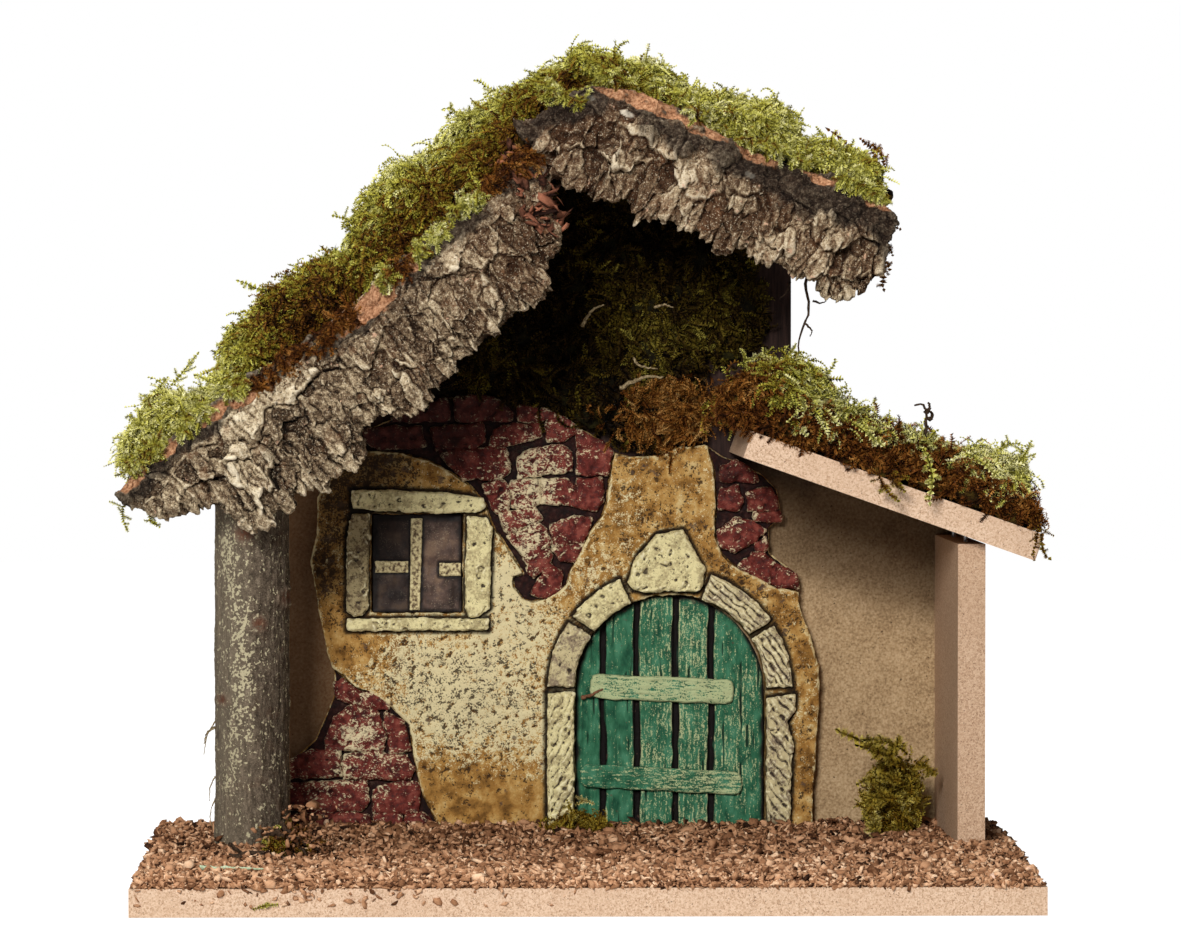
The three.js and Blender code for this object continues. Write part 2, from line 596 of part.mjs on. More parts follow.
const brickFields = {
  upper_bricks: {
    edge: [
      [-86, 151.5], [-79, 148.5], [-67.5, 148], [-57, 145], [-48.5, 140.5], [-41, 135.5], [-35.5, 129],
      [-32.5, 120], [-28.5, 114.5], [-23.5, 106.5], [-21, 102], [-25, 101], [-24.5, 97], [-21, 92.5],
      [-18, 91.5], [-13, 92.5], [-8.5, 94.5], [-4.5, 98], [-3, 103], [1, 110.5], [4.5, 118], [9, 124],
      [11, 130.5], [11.5, 136.5], [12.5, 143], [14, 150], [8, 175], [-86, 175],
    ],
    bricks: [
      [[-78, 160], [-49.5, 160.5], [-50, 168], [-67.5, 167.5], [-78, 166.5]],
      [[-46.5, 160.5], [-26, 160.5], [-25.5, 162.5], [-29, 167], [-36, 170], [-46.5, 169.5]],
      [[-22.5, 160.5], [-4.5, 161], [-12.5, 164.5], [-22.5, 166]],
      [[-80.5, 153], [-74.5, 150], [-58.5, 150.5], [-60, 157.5], [-82, 156.5]],
      [[-54.5, 149], [-39.5, 150], [-36, 152.5], [-37, 159], [-55.5, 157]],
      [[-33, 150], [-22, 152.5], [-14.5, 154.5], [-15.5, 159], [-29.5, 157.5], [-31.5, 156]],
      [[-11.5, 152.5], [-6, 153], [-1.5, 155.5], [-1.5, 158.5], [-6, 161], [-12, 159]],
      [[0, 150.5], [9.5, 151.5], [0, 156.5]],
      [[-44, 138], [-30.5, 138.5], [-26.5, 141], [-26, 144.5], [-27.5, 149.5], [-52.5, 148.5]],
      [[-22.5, 138.5], [-11.5, 140.5], [-2.5, 141], [-3, 148], [-7, 150.5], [-18.5, 149], [-22.5, 146.5]],
      [[0, 140], [10.5, 140], [12.5, 150], [9, 151.5], [0.5, 149.5]],
      [[-33.5, 128.5], [-31, 125], [-27, 126], [-26.5, 135], [-29.5, 137.5], [-36, 135.5]],
      [[-25, 127.5], [-20.5, 126.5], [-15.5, 129.5], [-15.5, 137.5], [-25, 137]],
      [[-14, 129.5], [-8.5, 128.5], [-3, 131], [-2, 135], [-4.5, 137.5], [-14, 138]],
      [[-1.5, 133], [-6, 129], [6.5, 126.5], [9, 129.5], [8.5, 138], [0, 137.5]],
      [[-26.5, 118], [-14, 123], [-17.5, 127.5], [-30, 124]],
      [[-9.5, 112.5], [1.5, 114.5], [3, 118.5], [4.5, 123], [-1.5, 123.5], [-10, 120.5]],
      [[-19, 106.5], [-14.5, 109], [-11, 114], [-12.5, 118.5], [-16, 121.5], [-26.5, 116]],
      [[-6, 107.5], [-1.5, 107], [1, 113], [-9.5, 111]],
      [[-17, 101], [-12.5, 103.5], [-10, 109], [-12.5, 112], [-19, 104.5]],
      [[-17, 94.5], [-11.5, 93], [-7, 96.5], [-7, 103], [-11.5, 106], [-15.5, 99]],
    ],
  },
  lower_bricks: {
    edge: [
      [-97, 70], [-94, 67.5], [-84.5, 59], [-79.5, 57.5], [-72.5, 53], [-68.5, 49.5], [-64, 45], [-62.5, 35],
      [-61, 26], [-59, 18.5], [-53.5, 7.5], [-50, 0], [-115, 0], [-115, 70],
    ].reverse(),
    bricks: [
      [[-91, 55], [-84.5, 52.5], [-73, 51], [-70.5, 53], [-78, 56], [-85, 58], [-89.5, 62], [-92.5, 60.5]],
      [[-96, 39], [-95, 35.5], [-75, 35.5], [-73.5, 40],
        [-75.5, 47.5], [-78, 51.5], [-86, 51.5], [-92, 48]],
      [[-72, 41], [-71.5, 34.5], [-64, 35], [-67, 46], [-73.5, 49.5]],
      [[-110.5, 25.5], [-90.5, 25.5], [-91, 34.5], [-100, 35], [-110.5, 31]],
      [[-89, 24.5], [-64, 24.5], [-63, 27.5], [-65.5, 32.5], [-77, 34.5], [-89, 32.5]],
      [[-110.5, 13.5], [-94, 12], [-82.5, 13], [-80, 16.5], [-80.5, 23], [-90.5, 23], [-110.5, 22]],
      [[-77.5, 12], [-61, 12], [-61, 22], [-67.5, 23], [-77.5, 20]],
      [[-110.5, 2.5], [-79, 2.5], [-80, 10.5], [-90.5, 11.5], [-110.5, 10.5]],
      [[-77, 2.5], [-67.5, 2.5], [-68, 10.5], [-77, 10.5]],
      [[-65.5, 3.5], [-54, 4.5], [-59.5, 11], [-65.5, 10.5]],
    ],
  },
  side_bricks: {
    edge: [
      [48.5, 152], [51.5, 140.5], [52, 126.5], [51.5, 116.5], [54.5, 109], [61, 103.5], [64, 102.5],
      [73.5, 97], [82, 95.5], [92, 95.5], [92, 152],
    ],
    bricks: [
      [[54, 137.5], [67.5, 137.5], [67, 142], [59.5, 144.5], [54.5, 142.5]],
      [[54, 126.5], [60.5, 126.5], [61.5, 131], [60.5, 135], [54, 134]],
      [[64.5, 126.5], [75.5, 127], [75, 131], [72.5, 134.5], [64.5, 133]],
      [[67, 123], [72, 122], [77, 122.5], [76, 125.5], [67, 125]],
      [[54.5, 112.5], [59.5, 111], [66, 114], [71, 118.5], [66, 121.5], [59.5, 123], [53.5, 118]],
      [[67.5, 111], [71, 111.5], [71, 116], [67.5, 113.5]],
      [[71, 100], [77, 97.5], [83, 96.5], [83, 100.5], [80.5, 103],
        [75, 105], [70.5, 109.5], [66, 110], [61.5, 105]],
    ],
  },
};

// The door's arch as an outline, from its left foot over the top to its right foot.
function archOutline(gap) {
  const radius = doorRadius - gap;
  const steps = 16;
  const outline = [[doorCentreX - radius, gap], [doorCentreX + radius, gap]];
  for (let i = 0; i <= steps; i++) {
    const angle = Math.PI * i / steps;
    outline.push([doorCentreX + radius * Math.cos(angle), doorSpring + radius * Math.sin(angle)]);
  }
  return outline;
}
const windowOutline = (gap) => (
  rectangle(windowLeft + gap, windowRight - gap, windowBottom + gap, windowTop - gap));

const cutThrough = 1;
const threshold = [[doorCentreX - doorRadius, -cutThrough], [doorCentreX + doorRadius, -cutThrough]];
const doorway = [...threshold, ...archOutline(0).slice(2)];
const openings = [doorway, windowOutline(0)].map((outline) => (
  prism(outline, panelFaceY + cutThrough, stuccoFaceY - cutThrough)));
const brickPockets = Object.values(brickFields).map(({ edge }) => (
  prism(edge, backingFaceY, stuccoFaceY - cutThrough)));
add(house, 'facade_panel', cut(
  prism(facadeOutline, panelFaceY, stuccoFaceY), [...openings, ...brickPockets]), stucco());

// Bricks: raised blocks on a mortar bed, each field in its pocket of the stucco.
const brickChamfer = 0.7;
for (const [name, { edge, bricks }] of Object.entries(brickFields)) {
  const mortarFaceY = backingFaceY - mortarThickness;
  const pocket = toSolid(prism(inset(edge, seam), backingFaceY, stuccoFaceY))
    .intersect(toSolid(prism(inset(facadeOutline, seam), backingFaceY, stuccoFaceY)));
  let field = toSolid(prism(rectangle(-200, 200, -1, 200), backingFaceY, mortarFaceY));
  for (const outline of bricks) {
    const block = chamferedPrism(outline, backingFaceY, mortarFaceY - brickRise, brickChamfer);
    field = field.add(toSolid(block));
  }
  add(house, name, toGeometry(field.intersect(pocket)), brick());
}

// Stones: the arch, its piers and the keystone, and the frame of the window.
const stoneChamfer = 0.9;
const stone = (name, outline, rise = stoneRise) => add(
  house, name, chamferedPrism(outline, stuccoFaceY, stuccoFaceY - rise, stoneChamfer), paleStone());

// One stone of the arch, between two angles in degrees from the right springing.
function archStone(name, start, end) {
  const steps = 4;
  const inner = doorRadius + archGap;
  const outer = inner + archWidth;
  const arc = (radius, from, to) => Array.from({ length: steps + 1 }, (_, i) => {
    const angle = radians(from + (to - from) * i / steps);
    return [doorCentreX + radius * Math.cos(angle), doorSpring + radius * Math.sin(angle)];
  });
  stone(name, [...arc(outer, start, end), ...arc(inner, end, start)]);
}
archStone('arch_stone_right_lower', 1.5, 32);
archStone('arch_stone_right_upper', 35, 70.5);
archStone('arch_stone_left_upper', 114.5, 142.5);
archStone('arch_stone_left_lower', 146, 178);
stone('keystone', [
  [20.8, 96.4], [18.4, 99], [22, 108.5], [29.5, 117], [39.5, 119], [47.6, 104.5], [46.8, 97.5], [44.6, 95.2],
  [34.7, 96.2], [25, 94.9],
].reverse(), keystoneRise);
const pierInner = doorRadius + archGap;
stone('arch_pier_left', rectangle(
  doorCentreX - pierInner - archWidth, doorCentreX - pierInner, 0, doorSpring - 1));
stone('arch_pier_right', [
  [doorCentreX + pierInner, 0], [doorCentreX + pierInner + 8.5, 0], [doorCentreX + pierInner + 10, 38],
  [doorCentreX + pierInner + 8, 46], [doorCentreX + pierInner + archWidth + 1, 51],
  [doorCentreX + pierInner + archWidth + 1, 56.5], [doorCentreX + pierInner, doorSpring - 3],
]);
const frameGap = 0.4;
stone('window_lintel', [
  [windowLeft - 7, windowTop + 1.8], [windowLeft + 23.5, windowTop + frameGap],
  [windowRight + 5.3, windowTop + frameGap], [windowRight + 8.3, windowTop + 2.5],
  [windowRight + 7.8, windowTop + 6], [windowRight - 5.7, windowTop + 8], [windowLeft + 6, windowTop + 9],
  [windowLeft - 7.2, windowTop + 8.8],
]);
stone('window_jamb_left', [
  [windowLeft - 9.4, windowBottom + 1], [windowLeft - 6.5, windowBottom - 1.1],
  [windowLeft - 3, windowBottom - 0.6], [windowLeft - 1, windowBottom + 2], [windowLeft - frameGap, windowTop],
  [windowLeft - 7.2, windowTop], [windowLeft - 9, windowTop - 7],
]);
stone('window_jamb_right', [
  [windowRight + frameGap, windowBottom + 2.5], [windowRight + 2, windowBottom - 1.3],
  [windowRight + 6, windowBottom - 1.3], [windowRight + 10, windowBottom + 2],
  [windowRight + 11, windowTop - 6], [windowRight + 8.8, windowTop - 1.5],
  [windowRight + 1.6, windowTop - 0.8],
]);
stone('window_sill', rectangle(windowLeft - 9, windowRight + 9.5, windowBottom - 6.4, windowBottom - 1.9));

// Window: dull panes behind crossed glazing bars, the right one broken off short.
add(house, 'window_panes', prism(windowOutline(seam), panelFaceY, paneFaceY), dullPane());
const muntin = (name, outline) => add(
  house, name, chamferedPrism(outline, paneFaceY, paneFaceY - muntinThickness, 0.4), paleStone());
const barCentre = (windowLeft + windowRight) / 2 - 0.2;
const barHeight = windowBottom + 17.5;
muntin('glazing_bar_upright', [
  [barCentre - 2.6, windowBottom + 1], [barCentre + 1.2, windowBottom + 1], [barCentre + 2.2, windowTop - 2],
  [barCentre - 2.2, windowTop - 2],
]);
muntin('glazing_bar_left', rectangle(windowLeft + 1.5, barCentre - 3.2, barHeight - 2.2, barHeight + 2.2));
muntin('glazing_bar_stub', rectangle(windowRight - 9, windowRight - 0.8, barHeight - 3.5, barHeight + 1.5));

// Door: five planks in one casting behind two battens, with a thin slit left round it.
const plankGroovesX = [9.4, 22.4, 37.1, 50.5];
const plankCutters = plankGroovesX.map((x) => prism(
  rectangle(x - plankGroove / 2, x + plankGroove / 2, -cutThrough, doorSpring + doorRadius),
  doorFaceY + plankGrooveDepth, doorFaceY - cutThrough));
add(house, 'door_leaf', cut(prism(archOutline(doorGap), panelFaceY, doorFaceY), plankCutters), greenDoor());

function batten(name, x, z, length, height, tilt) {
  const radius = height * 0.3;
  const shape = [];
  const corners = [[1, 1, 0], [-1, 1, 90], [-1, -1, 180], [1, -1, 270]];
  for (const [sideX, sideZ, start] of corners) {
    for (const turn of [0, 45, 90]) {
      const angle = radians(start + turn);
      shape.push([
        sideX * (length / 2 - radius) + radius * Math.cos(angle),
        sideZ * (height / 2 - radius) + radius * Math.sin(angle),
      ]);
    }
  }
  const mesh = add(house, name, chamferedPrism(shape, 0, -battenThickness, 0.6), paleBatten());
  mesh.position.set(x, doorFaceY, z);
  mesh.rotation.y = radians(tilt);
}
batten('door_batten_upper', 31.7, 58.2, 54.5, 9.4, 2.5);
batten('door_batten_lower', 31.4, 23.8, 61.5, 8.8, 3);

// Clumps lying on the base: a ball of moss with a flat foot and a lumpy skin.
function clump(name, x, y, radiusX, radiusY, height, material) {
  const ball = new THREE.IcosahedronGeometry(1, 2);
  const geometry = mergeVertices(ball.deleteAttribute('uv').deleteAttribute('normal'));
  const points = geometry.attributes.position;
  for (let i = 0; i < points.count; i++) {
    const point = new THREE.Vector3().fromBufferAttribute(points, i);
    const swell = 1 + 0.1 * Math.sin(7 * point.x + 3 * point.z) + 0.08 * Math.cos(6 * point.y - 5 * point.z);
    const up = Math.max(0, point.z) * swell;
    points.setXYZ(i, point.x * swell * radiusX, point.y * swell * radiusY, up * height);
  }
  geometry.computeVertexNormals();
  add(house, name, geometry.translate(x, y, 0), material);
  return new THREE.CylinderGeometry(1, 1, 60, 20).rotateX(Math.PI / 2)
    .scale(radiusX * 1.2 + seam, radiusY * 1.2 + seam, 1).translate(x, y, 0);
}
const bushHollow = clump(
  'corner_moss_bush', wallInnerX - bushToWall - bushRadius, panelFaceY - bushToPanel - bushRadius,
  bushRadius, bushRadius, bushHeight, darkMoss());
const tuftHollow = clump(
  'door_moss_tuft', doorCentreX - doorRadius, stuccoFaceY - stoneRise - tuftToPier - tuftHalfDepth,
  tuftHalfWidth, tuftHalfDepth, tuftHeight, darkMoss());
const footHollow = clump(
  'post_foot_moss', postCentreX + postWidth / 2, wallFrontY - footMossToPost,
  footMossHalfWidth, footMossHalfDepth, footMossHeight, driedTwig());

// Cork litter: an uneven layer on the base, banked against the facade, the post and the wall.
function litterMounds(x, y) {
  const turn = 2 * Math.PI / litterMoundGap;
  const across = Math.sin(x * turn + litterMoundTurn * Math.sin(y * turn / 3));
  const along = Math.cos(y * turn + litterMoundTurn * Math.sin(x * turn / 2));
  return litterMoundHeight * across * along / 2;
}

function litterHeight(x, y) {
  const back = THREE.MathUtils.smoothstep(y, frontY + litterFlat, stuccoFaceY);
  const heap = (heapX, heapY) => (
    Math.exp(-((x - heapX) ** 2 + (y - heapY) ** 2) / (2 * heapSpread ** 2)));
  const heaps = heap(postCentreX, wallFrontY) + heap(wallInnerX, wallFrontY);
  return litterThickness + litterBank * Math.min(1, back + heapShare * heaps) + litterMounds(x, y);
}
const litter = pad({
  from: litterMargin - baseWidth / 2,
  to: baseWidth / 2 - litterMargin,
  columns: 56,
  rows: 31,
  low: () => frontY + litterMargin,
  high: () => panelFaceY - seam,
  bulge: (x, y) => litterHeight(x, y),
});
const upright = (left, right, front, back) => (
  prism(rectangle(left - seam, right + seam, -cutThrough, 40), back + seam, front - seam));
const postFoot = inset(postRing(0, 0).map(([x, y]) => [x, y]), -seam - 2 * postUnevenness * postDepth);
const postClearing = new THREE.ExtrudeGeometry(
  new THREE.Shape(postFoot.map(([x, y]) => new THREE.Vector2(x, y))), { depth: 40, bevelEnabled: false });
postClearing.translate(0, 0, -cutThrough);
const pierSpan = doorRadius + archGap + archWidth + 1;
add(house, 'cork_litter', cut(litter, [
  postClearing,
  upright(wallInnerX, wallOuterX, wallFrontY, panelFaceY),
  upright(facadeOutline[0][0], facadeOutline[1][0] + 2, stuccoFaceY, panelFaceY),
  upright(doorCentreX - pierSpan, doorCentreX - doorRadius, stuccoFaceY - stoneRise, panelFaceY),
  upright(doorCentreX + doorRadius, doorCentreX + pierSpan, stuccoFaceY - stoneRise, panelFaceY),
  bushHollow,
  tuftHollow,
  footHollow,
]), corkCrumb());

// Fasteners, each one in its own bore.
for (const [name, pin] of Object.entries(backPins)) {
  add(pin.parent, name, pin.body, zincSteel());
}
wallTopPins.forEach((pin, i) => add(pin.parent, `lean_to_wall_pin_${i + 1}`, pin.body, zincSteel()));
add(postTopPin.parent, 'post_top_pin', postTopPin.body, zincSteel());
wallScrews.forEach((screw, i) => add(screw.parent, `wall_screw_${i + 1}`, screw.body, zincSteel()));
add(postScrew.parent, 'post_screw', postScrew.body, zincSteel());

export default stable;
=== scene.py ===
import math

import bpy
import numpy as np
from mathutils.bvhtree import BVHTree
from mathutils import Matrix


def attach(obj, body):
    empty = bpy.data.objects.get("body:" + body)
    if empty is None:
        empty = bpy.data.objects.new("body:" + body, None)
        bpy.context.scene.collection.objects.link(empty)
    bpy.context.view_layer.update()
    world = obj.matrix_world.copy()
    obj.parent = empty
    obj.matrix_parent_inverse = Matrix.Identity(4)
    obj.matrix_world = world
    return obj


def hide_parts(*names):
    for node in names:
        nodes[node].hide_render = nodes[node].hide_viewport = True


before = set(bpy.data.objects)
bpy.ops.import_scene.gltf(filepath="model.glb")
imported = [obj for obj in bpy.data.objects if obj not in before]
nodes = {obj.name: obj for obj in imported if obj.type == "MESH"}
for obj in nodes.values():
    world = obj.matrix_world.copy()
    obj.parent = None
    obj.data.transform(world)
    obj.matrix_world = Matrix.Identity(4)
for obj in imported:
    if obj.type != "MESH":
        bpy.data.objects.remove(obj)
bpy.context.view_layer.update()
MM = 0.001


# The studio: a long lens two metres away, level with the top of the window, and a white room.
# The lens stands left of the middle and looks a little to the right and down.
lens_place = (-43.0, -1910.0, 198.8)
lens_turn, lens_drop = 1.37, 1.39
lens_length, sensor_width = 159.85, 36
near_clip, far_clip = 0.05, 100

camera_data = bpy.data.cameras.new("camera")
camera_data.lens = lens_length
camera_data.sensor_width = sensor_width
camera_data.clip_start = near_clip
camera_data.clip_end = far_clip
camera = bpy.data.objects.new("camera", camera_data)
camera.location = [v * MM for v in lens_place]
camera.rotation_euler = (math.radians(90 - lens_drop), 0, math.radians(-lens_turn))
bpy.context.scene.collection.objects.link(camera)
bpy.context.scene.camera = camera
bpy.context.scene.view_settings.view_transform = "Standard"

warm_green, warm_blue = 0.06, 0.14


def softbox(name, place, aim, width, height, power, warmth):
    """A soft lamp at a place in metres, turned to a point."""
    data = bpy.data.lights.new(name, "AREA")
    data.shape = "RECTANGLE"
    data.size = width
    data.size_y = height
    data.energy = power
    data.color = (1.0, 1.0 - warm_green * warmth, 1.0 - warm_blue * warmth)
    lamp = bpy.data.objects.new(name, data)
    lamp.location = place
    away = np.subtract(place, aim)
    flat = math.hypot(away[0], away[1])
    lamp.rotation_euler = (math.atan2(flat, away[2]), 0, math.atan2(away[0], -away[1]))
    bpy.context.scene.collection.objects.link(lamp)


softbox("key_lamp", (-0.50, -2.10, 0.86), (0, 0, 0.14), 0.5, 0.5, 50, 0.3)
softbox("fill_lamp", (1.5, -1.7, 0.55), (0, 0, 0.12), 1.0, 0.8, 4, 0.1)
softbox("top_lamp", (-0.35, -0.05, 1.6), (0, 0, 0.2), 0.8, 0.6, 19, 0.0)

room_glow = 0.06
world = bpy.data.worlds.new("room")
world.use_nodes = True
world.node_tree.nodes["Background"].inputs["Color"].default_value = (1, 1, 1, 1)
world.node_tree.nodes["Background"].inputs["Strength"].default_value = room_glow
bpy.context.scene.world = world


def stage_sheet(name, points, faces, material):
    """A white sheet of the room, which isn't part of the object."""
    mesh = bpy.data.meshes.new(name)
    mesh.from_pydata(points, [], faces)
    mesh.materials.append(material)
    sheet = bpy.data.objects.new(name, mesh)
    bpy.context.scene.collection.objects.link(sheet)
    return sheet


def white_sheet(name, reflects, glows):
    material = bpy.data.materials.new(name)
    material.use_nodes = True
    shader = material.node_tree.nodes["Principled BSDF"]
    shader.inputs["Base Color"].default_value = (reflects, reflects, reflects, 1)
    shader.inputs["Roughness"].default_value = 1.0
    shader.inputs["Specular IOR Level"].default_value = 0.0
    shader.inputs["Emission Color"].default_value = (1, 1, 1, 1)
    shader.inputs["Emission Strength"].default_value = glows
    return material


def seen_only(sheet):
    """The lens sees the sheet, and it neither lights the stable nor shades it."""
    sheet.visible_diffuse = sheet.visible_glossy = sheet.visible_transmission = False
    sheet.visible_volume_scatter = sheet.visible_shadow = False


# The floor is a glowing white sheet that the lens sees, over a white one that only passes light back.
floor_half = 3.0
floor_level = -0.0004


def floor_corners(level):
    return [(-floor_half, -floor_half, level), (floor_half, -floor_half, level),
            (floor_half, floor_half, level), (-floor_half, floor_half, level)]


floor = stage_sheet(
    "floor", floor_corners(floor_level), [(0, 1, 2, 3)], white_sheet("floor_white", 0.3, 0.98))
seen_only(floor)
bounce = stage_sheet(
    "floor_bounce", floor_corners(2 * floor_level), [(0, 1, 2, 3)], white_sheet("bounce_white", 0.5, 0.0))
bounce.visible_camera = False


# A white dome closes the room. Only the lens sees it, so it lights nothing.
dome_radius = 2.95
dome_rings, dome_sides = 10, 48
dome_points, dome_faces = [], []
for ring in range(dome_rings + 1):
    rise = math.pi / 2 * ring / dome_rings
    for side in range(dome_sides):
        turn = 2 * math.pi * side / dome_sides
        dome_points.append((
            dome_radius * math.cos(rise) * math.cos(turn), dome_radius * math.cos(rise) * math.sin(turn),
            floor_level + dome_radius * math.sin(rise)))
for ring in range(dome_rings):
    for side in range(dome_sides):
        near, far = ring * dome_sides + side, ring * dome_sides + (side + 1) % dome_sides
        dome_faces.append((near, near + dome_sides, far + dome_sides, far))
seen_only(stage_sheet("dome", dome_points, dome_faces, white_sheet("dome_white", 0.0, 1.0)))


# Boards: the base, the right wall and the three roof boards are raw particle board, sawn square,
# pinned and screwed together. Pinkish tan chips with fine dark specks show on faces and edges.
def paint(code):
    """A colour written as six hexadecimal digits, as the shader wants it."""
    parts = [int(code[i:i + 2], 16) / 255 for i in (0, 2, 4)]
    return [p / 12.92 if p <= 0.04045 else ((p + 0.055) / 1.055) ** 2.4 for p in parts] + [1.0]


dull_sheen = 0.12


class Finish:
    """One material, with short ways to make the nodes that colour it."""

    def __init__(self, name, roughness, **fixed):
        self.material = bpy.data.materials.new(name)
        self.material.use_nodes = True
        self.tree = self.material.node_tree
        self.shader = self.tree.nodes["Principled BSDF"]
        self.shader.inputs["Roughness"].default_value = roughness
        self.shader.inputs["Specular IOR Level"].default_value = dull_sheen
        for socket, value in fixed.items():
            self.shader.inputs[socket.replace("_", " ")].default_value = value
        self.place = self.tree.nodes.new("ShaderNodeTexCoord").outputs["Object"]

    def node(self, kind, inputs, **settings):
        made = self.tree.nodes.new(kind)
        for key, value in settings.items():
            setattr(made, key, value)
        for key, value in inputs.items():
            if isinstance(value, bpy.types.NodeSocket):
                self.tree.links.new(value, made.inputs[key])
            else:
                made.inputs[key].default_value = value
        return made

    def stretched(self, size):
        """The place on the object, counted in steps of some millimetres along each axis."""
        scale = [1 / (s * MM) for s in size]
        return self.node("ShaderNodeMapping", {"Vector": self.place, "Scale": scale}).outputs[0]

    def grain(self, size, detail=3.0, roughness=0.55, stretch=(1, 1, 1), shift=0.0):
        """Cloudy noise from about 0 to 1. Another shift gives other clouds."""
        vector = self.stretched([size * s for s in stretch])
        if shift:
            vector = self.node(
                "ShaderNodeVectorMath", {0: vector, 1: (shift, shift, shift)}, operation="ADD").outputs[0]
        return self.node("ShaderNodeTexNoise", {
            "Vector": vector, "Scale": 1.0, "Detail": detail, "Roughness": roughness}).outputs["Fac"]

    def chips(self, size):
        """Flat cells, each of its own colour."""
        vector = self.stretched([size] * 3)
        return self.node("ShaderNodeTexVoronoi", {"Vector": vector, "Scale": 1.0}).outputs["Color"]

    def measure(self, name):
        """A number noted for each point of the mesh."""
        return self.node("ShaderNodeAttribute", {}, attribute_name=name).outputs["Fac"]

    def sum(self, *terms):
        """Adds sockets and numbers; a pair is a value and its weight."""
        terms = [self.times(*term) if isinstance(term, tuple) else term for term in terms]
        total = terms[0]
        for term in terms[1:]:
            total = self.node("ShaderNodeMath", {0: total, 1: term}, operation="ADD").outputs[0]
        return total

    def times(self, value, factor):
        return self.node("ShaderNodeMath", {0: value, 1: factor}, operation="MULTIPLY").outputs[0]

    def step(self, value, low, high):
        """0 below low, 1 above high, and smooth between."""
        return self.node("ShaderNodeMapRange", {
            "Value": value, "From Min": low, "From Max": high}, interpolation_type="SMOOTHSTEP").outputs[0]

    def ramp(self, factor, stops):
        made = self.node("ShaderNodeValToRGB", {"Fac": factor})
        elements = made.color_ramp.elements
        while len(elements) < len(stops):
            elements.new(0.5)
        for element, (position, code) in zip(elements, stops):
            element.position = position
            element.color = paint(code)
        return made.outputs["Color"]

    def over(self, under, top, factor):
        """One colour laid over another by a factor; a colour is six digits or a socket."""
        under, top = [paint(c) if isinstance(c, str) else c for c in (under, top)]
        made = self.node("ShaderNodeMix", {}, data_type="RGBA")
        bare, painted = [s for s in made.inputs if s.type == "RGBA"]
        share = next(s for s in made.inputs if s.type == "VALUE" and s.name == "Factor")
        for value, socket in ((under, bare), (top, painted), (factor, share)):
            if isinstance(value, bpy.types.NodeSocket):
                self.tree.links.new(value, socket)
            else:
                socket.default_value = value
        return next(s for s in made.outputs if s.type == "RGBA")

    def cover(self, under, top, value, low, high, share=1.0):
        """A colour laid where a value passes from low to high."""
        return self.over(under, top, self.times(self.step(value, low, high), share))

    def gloss(self, socket):
        self.tree.links.new(socket, self.shader.inputs["Roughness"])

    def done(self, colour, height=None, depth=0.0):
        """The material, with its colour linked in and a bump of a depth in millimetres."""
        self.tree.links.new(colour, self.shader.inputs["Base Color"])
        if height is not None:
            made = self.node("ShaderNodeBump", {"Height": height, "Distance": depth * MM, "Strength": 1.0})
            self.tree.links.new(made.outputs[0], self.shader.inputs["Normal"])
        return self.material


def board_finish(name, pale, middle, dark, speck):
    finish = Finish(name, 0.82)
    chip = finish.chips(0.6)
    tone = finish.sum((chip, 0.3), (finish.grain(0.42, 3, 0.6), 0.7))
    body = finish.ramp(tone, [(0.28, dark), (0.44, middle), (0.62, pale)])
    body = finish.cover(body, middle, finish.grain(28, 2), 0.35, 0.7, 0.3)
    body = finish.cover(body, speck, finish.grain(0.7, 3, 0.55, shift=7), 0.66, 0.7, 0.8)
    return finish.done(body, finish.grain(0.8, 3), 0.2)


raw_board = board_finish("raw_particle_board", "dec2a8", "c7a78b", "967558", "4c3220")
# The right wall gets a darker copy of the same board, as painted shade.
shaded_wall_board = board_finish("shaded_wall_particle_board", "cbae93", "b39377", "866750", "43291a")


def refinish(name, material):
    """A board keeps its own shape and gets a better finish."""
    data = nodes[name].data
    data.materials.clear()
    data.materials.append(material)


for board in ("base_board", "right_side_wall", "left_roof_board", "right_roof_board", "lean_to_roof_board"):
    refinish(board, shaded_wall_board if board == "right_side_wall" else raw_board)


# Back panel: thin board in the outline of the house, pinned to the back edges. Its face is raw and
# brown below the lean-to roof, with a painted shadow just under that roof, a painted shadow of the post
# on its left, and painted shade nearly black in the gable.
# Where its painted shades end, in metres: the gable's, the lean-to's shadow with its slope, the post's
# shadow on the left.
gable_line = (0.150, 0.166)
lean_line, lean_slope = (0.130, 0.156), 0.34
left_line = (0.06, 0.085)
panel_front = (-0.0895, -0.089)


def panel_finish():
    finish = Finish("brown_back_panel", 0.75)
    tone = finish.sum((finish.grain(0.9, 4), 0.7), (finish.grain(14, 3), 0.3))
    body = finish.ramp(tone, [(0.34, "7d6448"), (0.5, "a38966"), (0.66, "bda380")])
    body = finish.cover(body, "3a2618", finish.grain(1.2, 2, 0.5, shift=3), 0.66, 0.72, 0.85)
    split = finish.node("ShaderNodeSeparateXYZ", {"Vector": finish.place})
    aside, height = split.outputs["X"], split.outputs["Z"]
    front = finish.step(finish.times(split.outputs["Y"], -1.0), *panel_front)
    # Painted shadow of the post on the strip left of the facade.
    left = finish.times(finish.step(finish.times(aside, -1.0), *left_line), 0.72)
    body = finish.over(body, "553219", finish.times(left, front))
    # Painted shadow of the lean-to roof on the panel below it.
    under_roof = finish.sum(height, (aside, lean_slope), (finish.grain(30, 2), 0.01))
    shaded = finish.times(finish.step(under_roof, *lean_line), 0.62)
    body = finish.over(body, "2c1809", finish.times(shaded, front))
    # Painted shade nearly black in the gable, with streaks in it.
    streaks = finish.ramp(finish.grain(3, 4, stretch=(0.5, 1, 6)), [(0.35, "1c1210"), (0.7, "3d2b26")])
    gable_shade = finish.step(finish.sum(height, (finish.grain(20, 3), 0.02)), *gable_line)
    body = finish.over(body, streaks, finish.times(gable_shade, front))
    return finish.done(body, finish.grain(0.8, 3), 0.1)


refinish("back_panel", panel_finish())


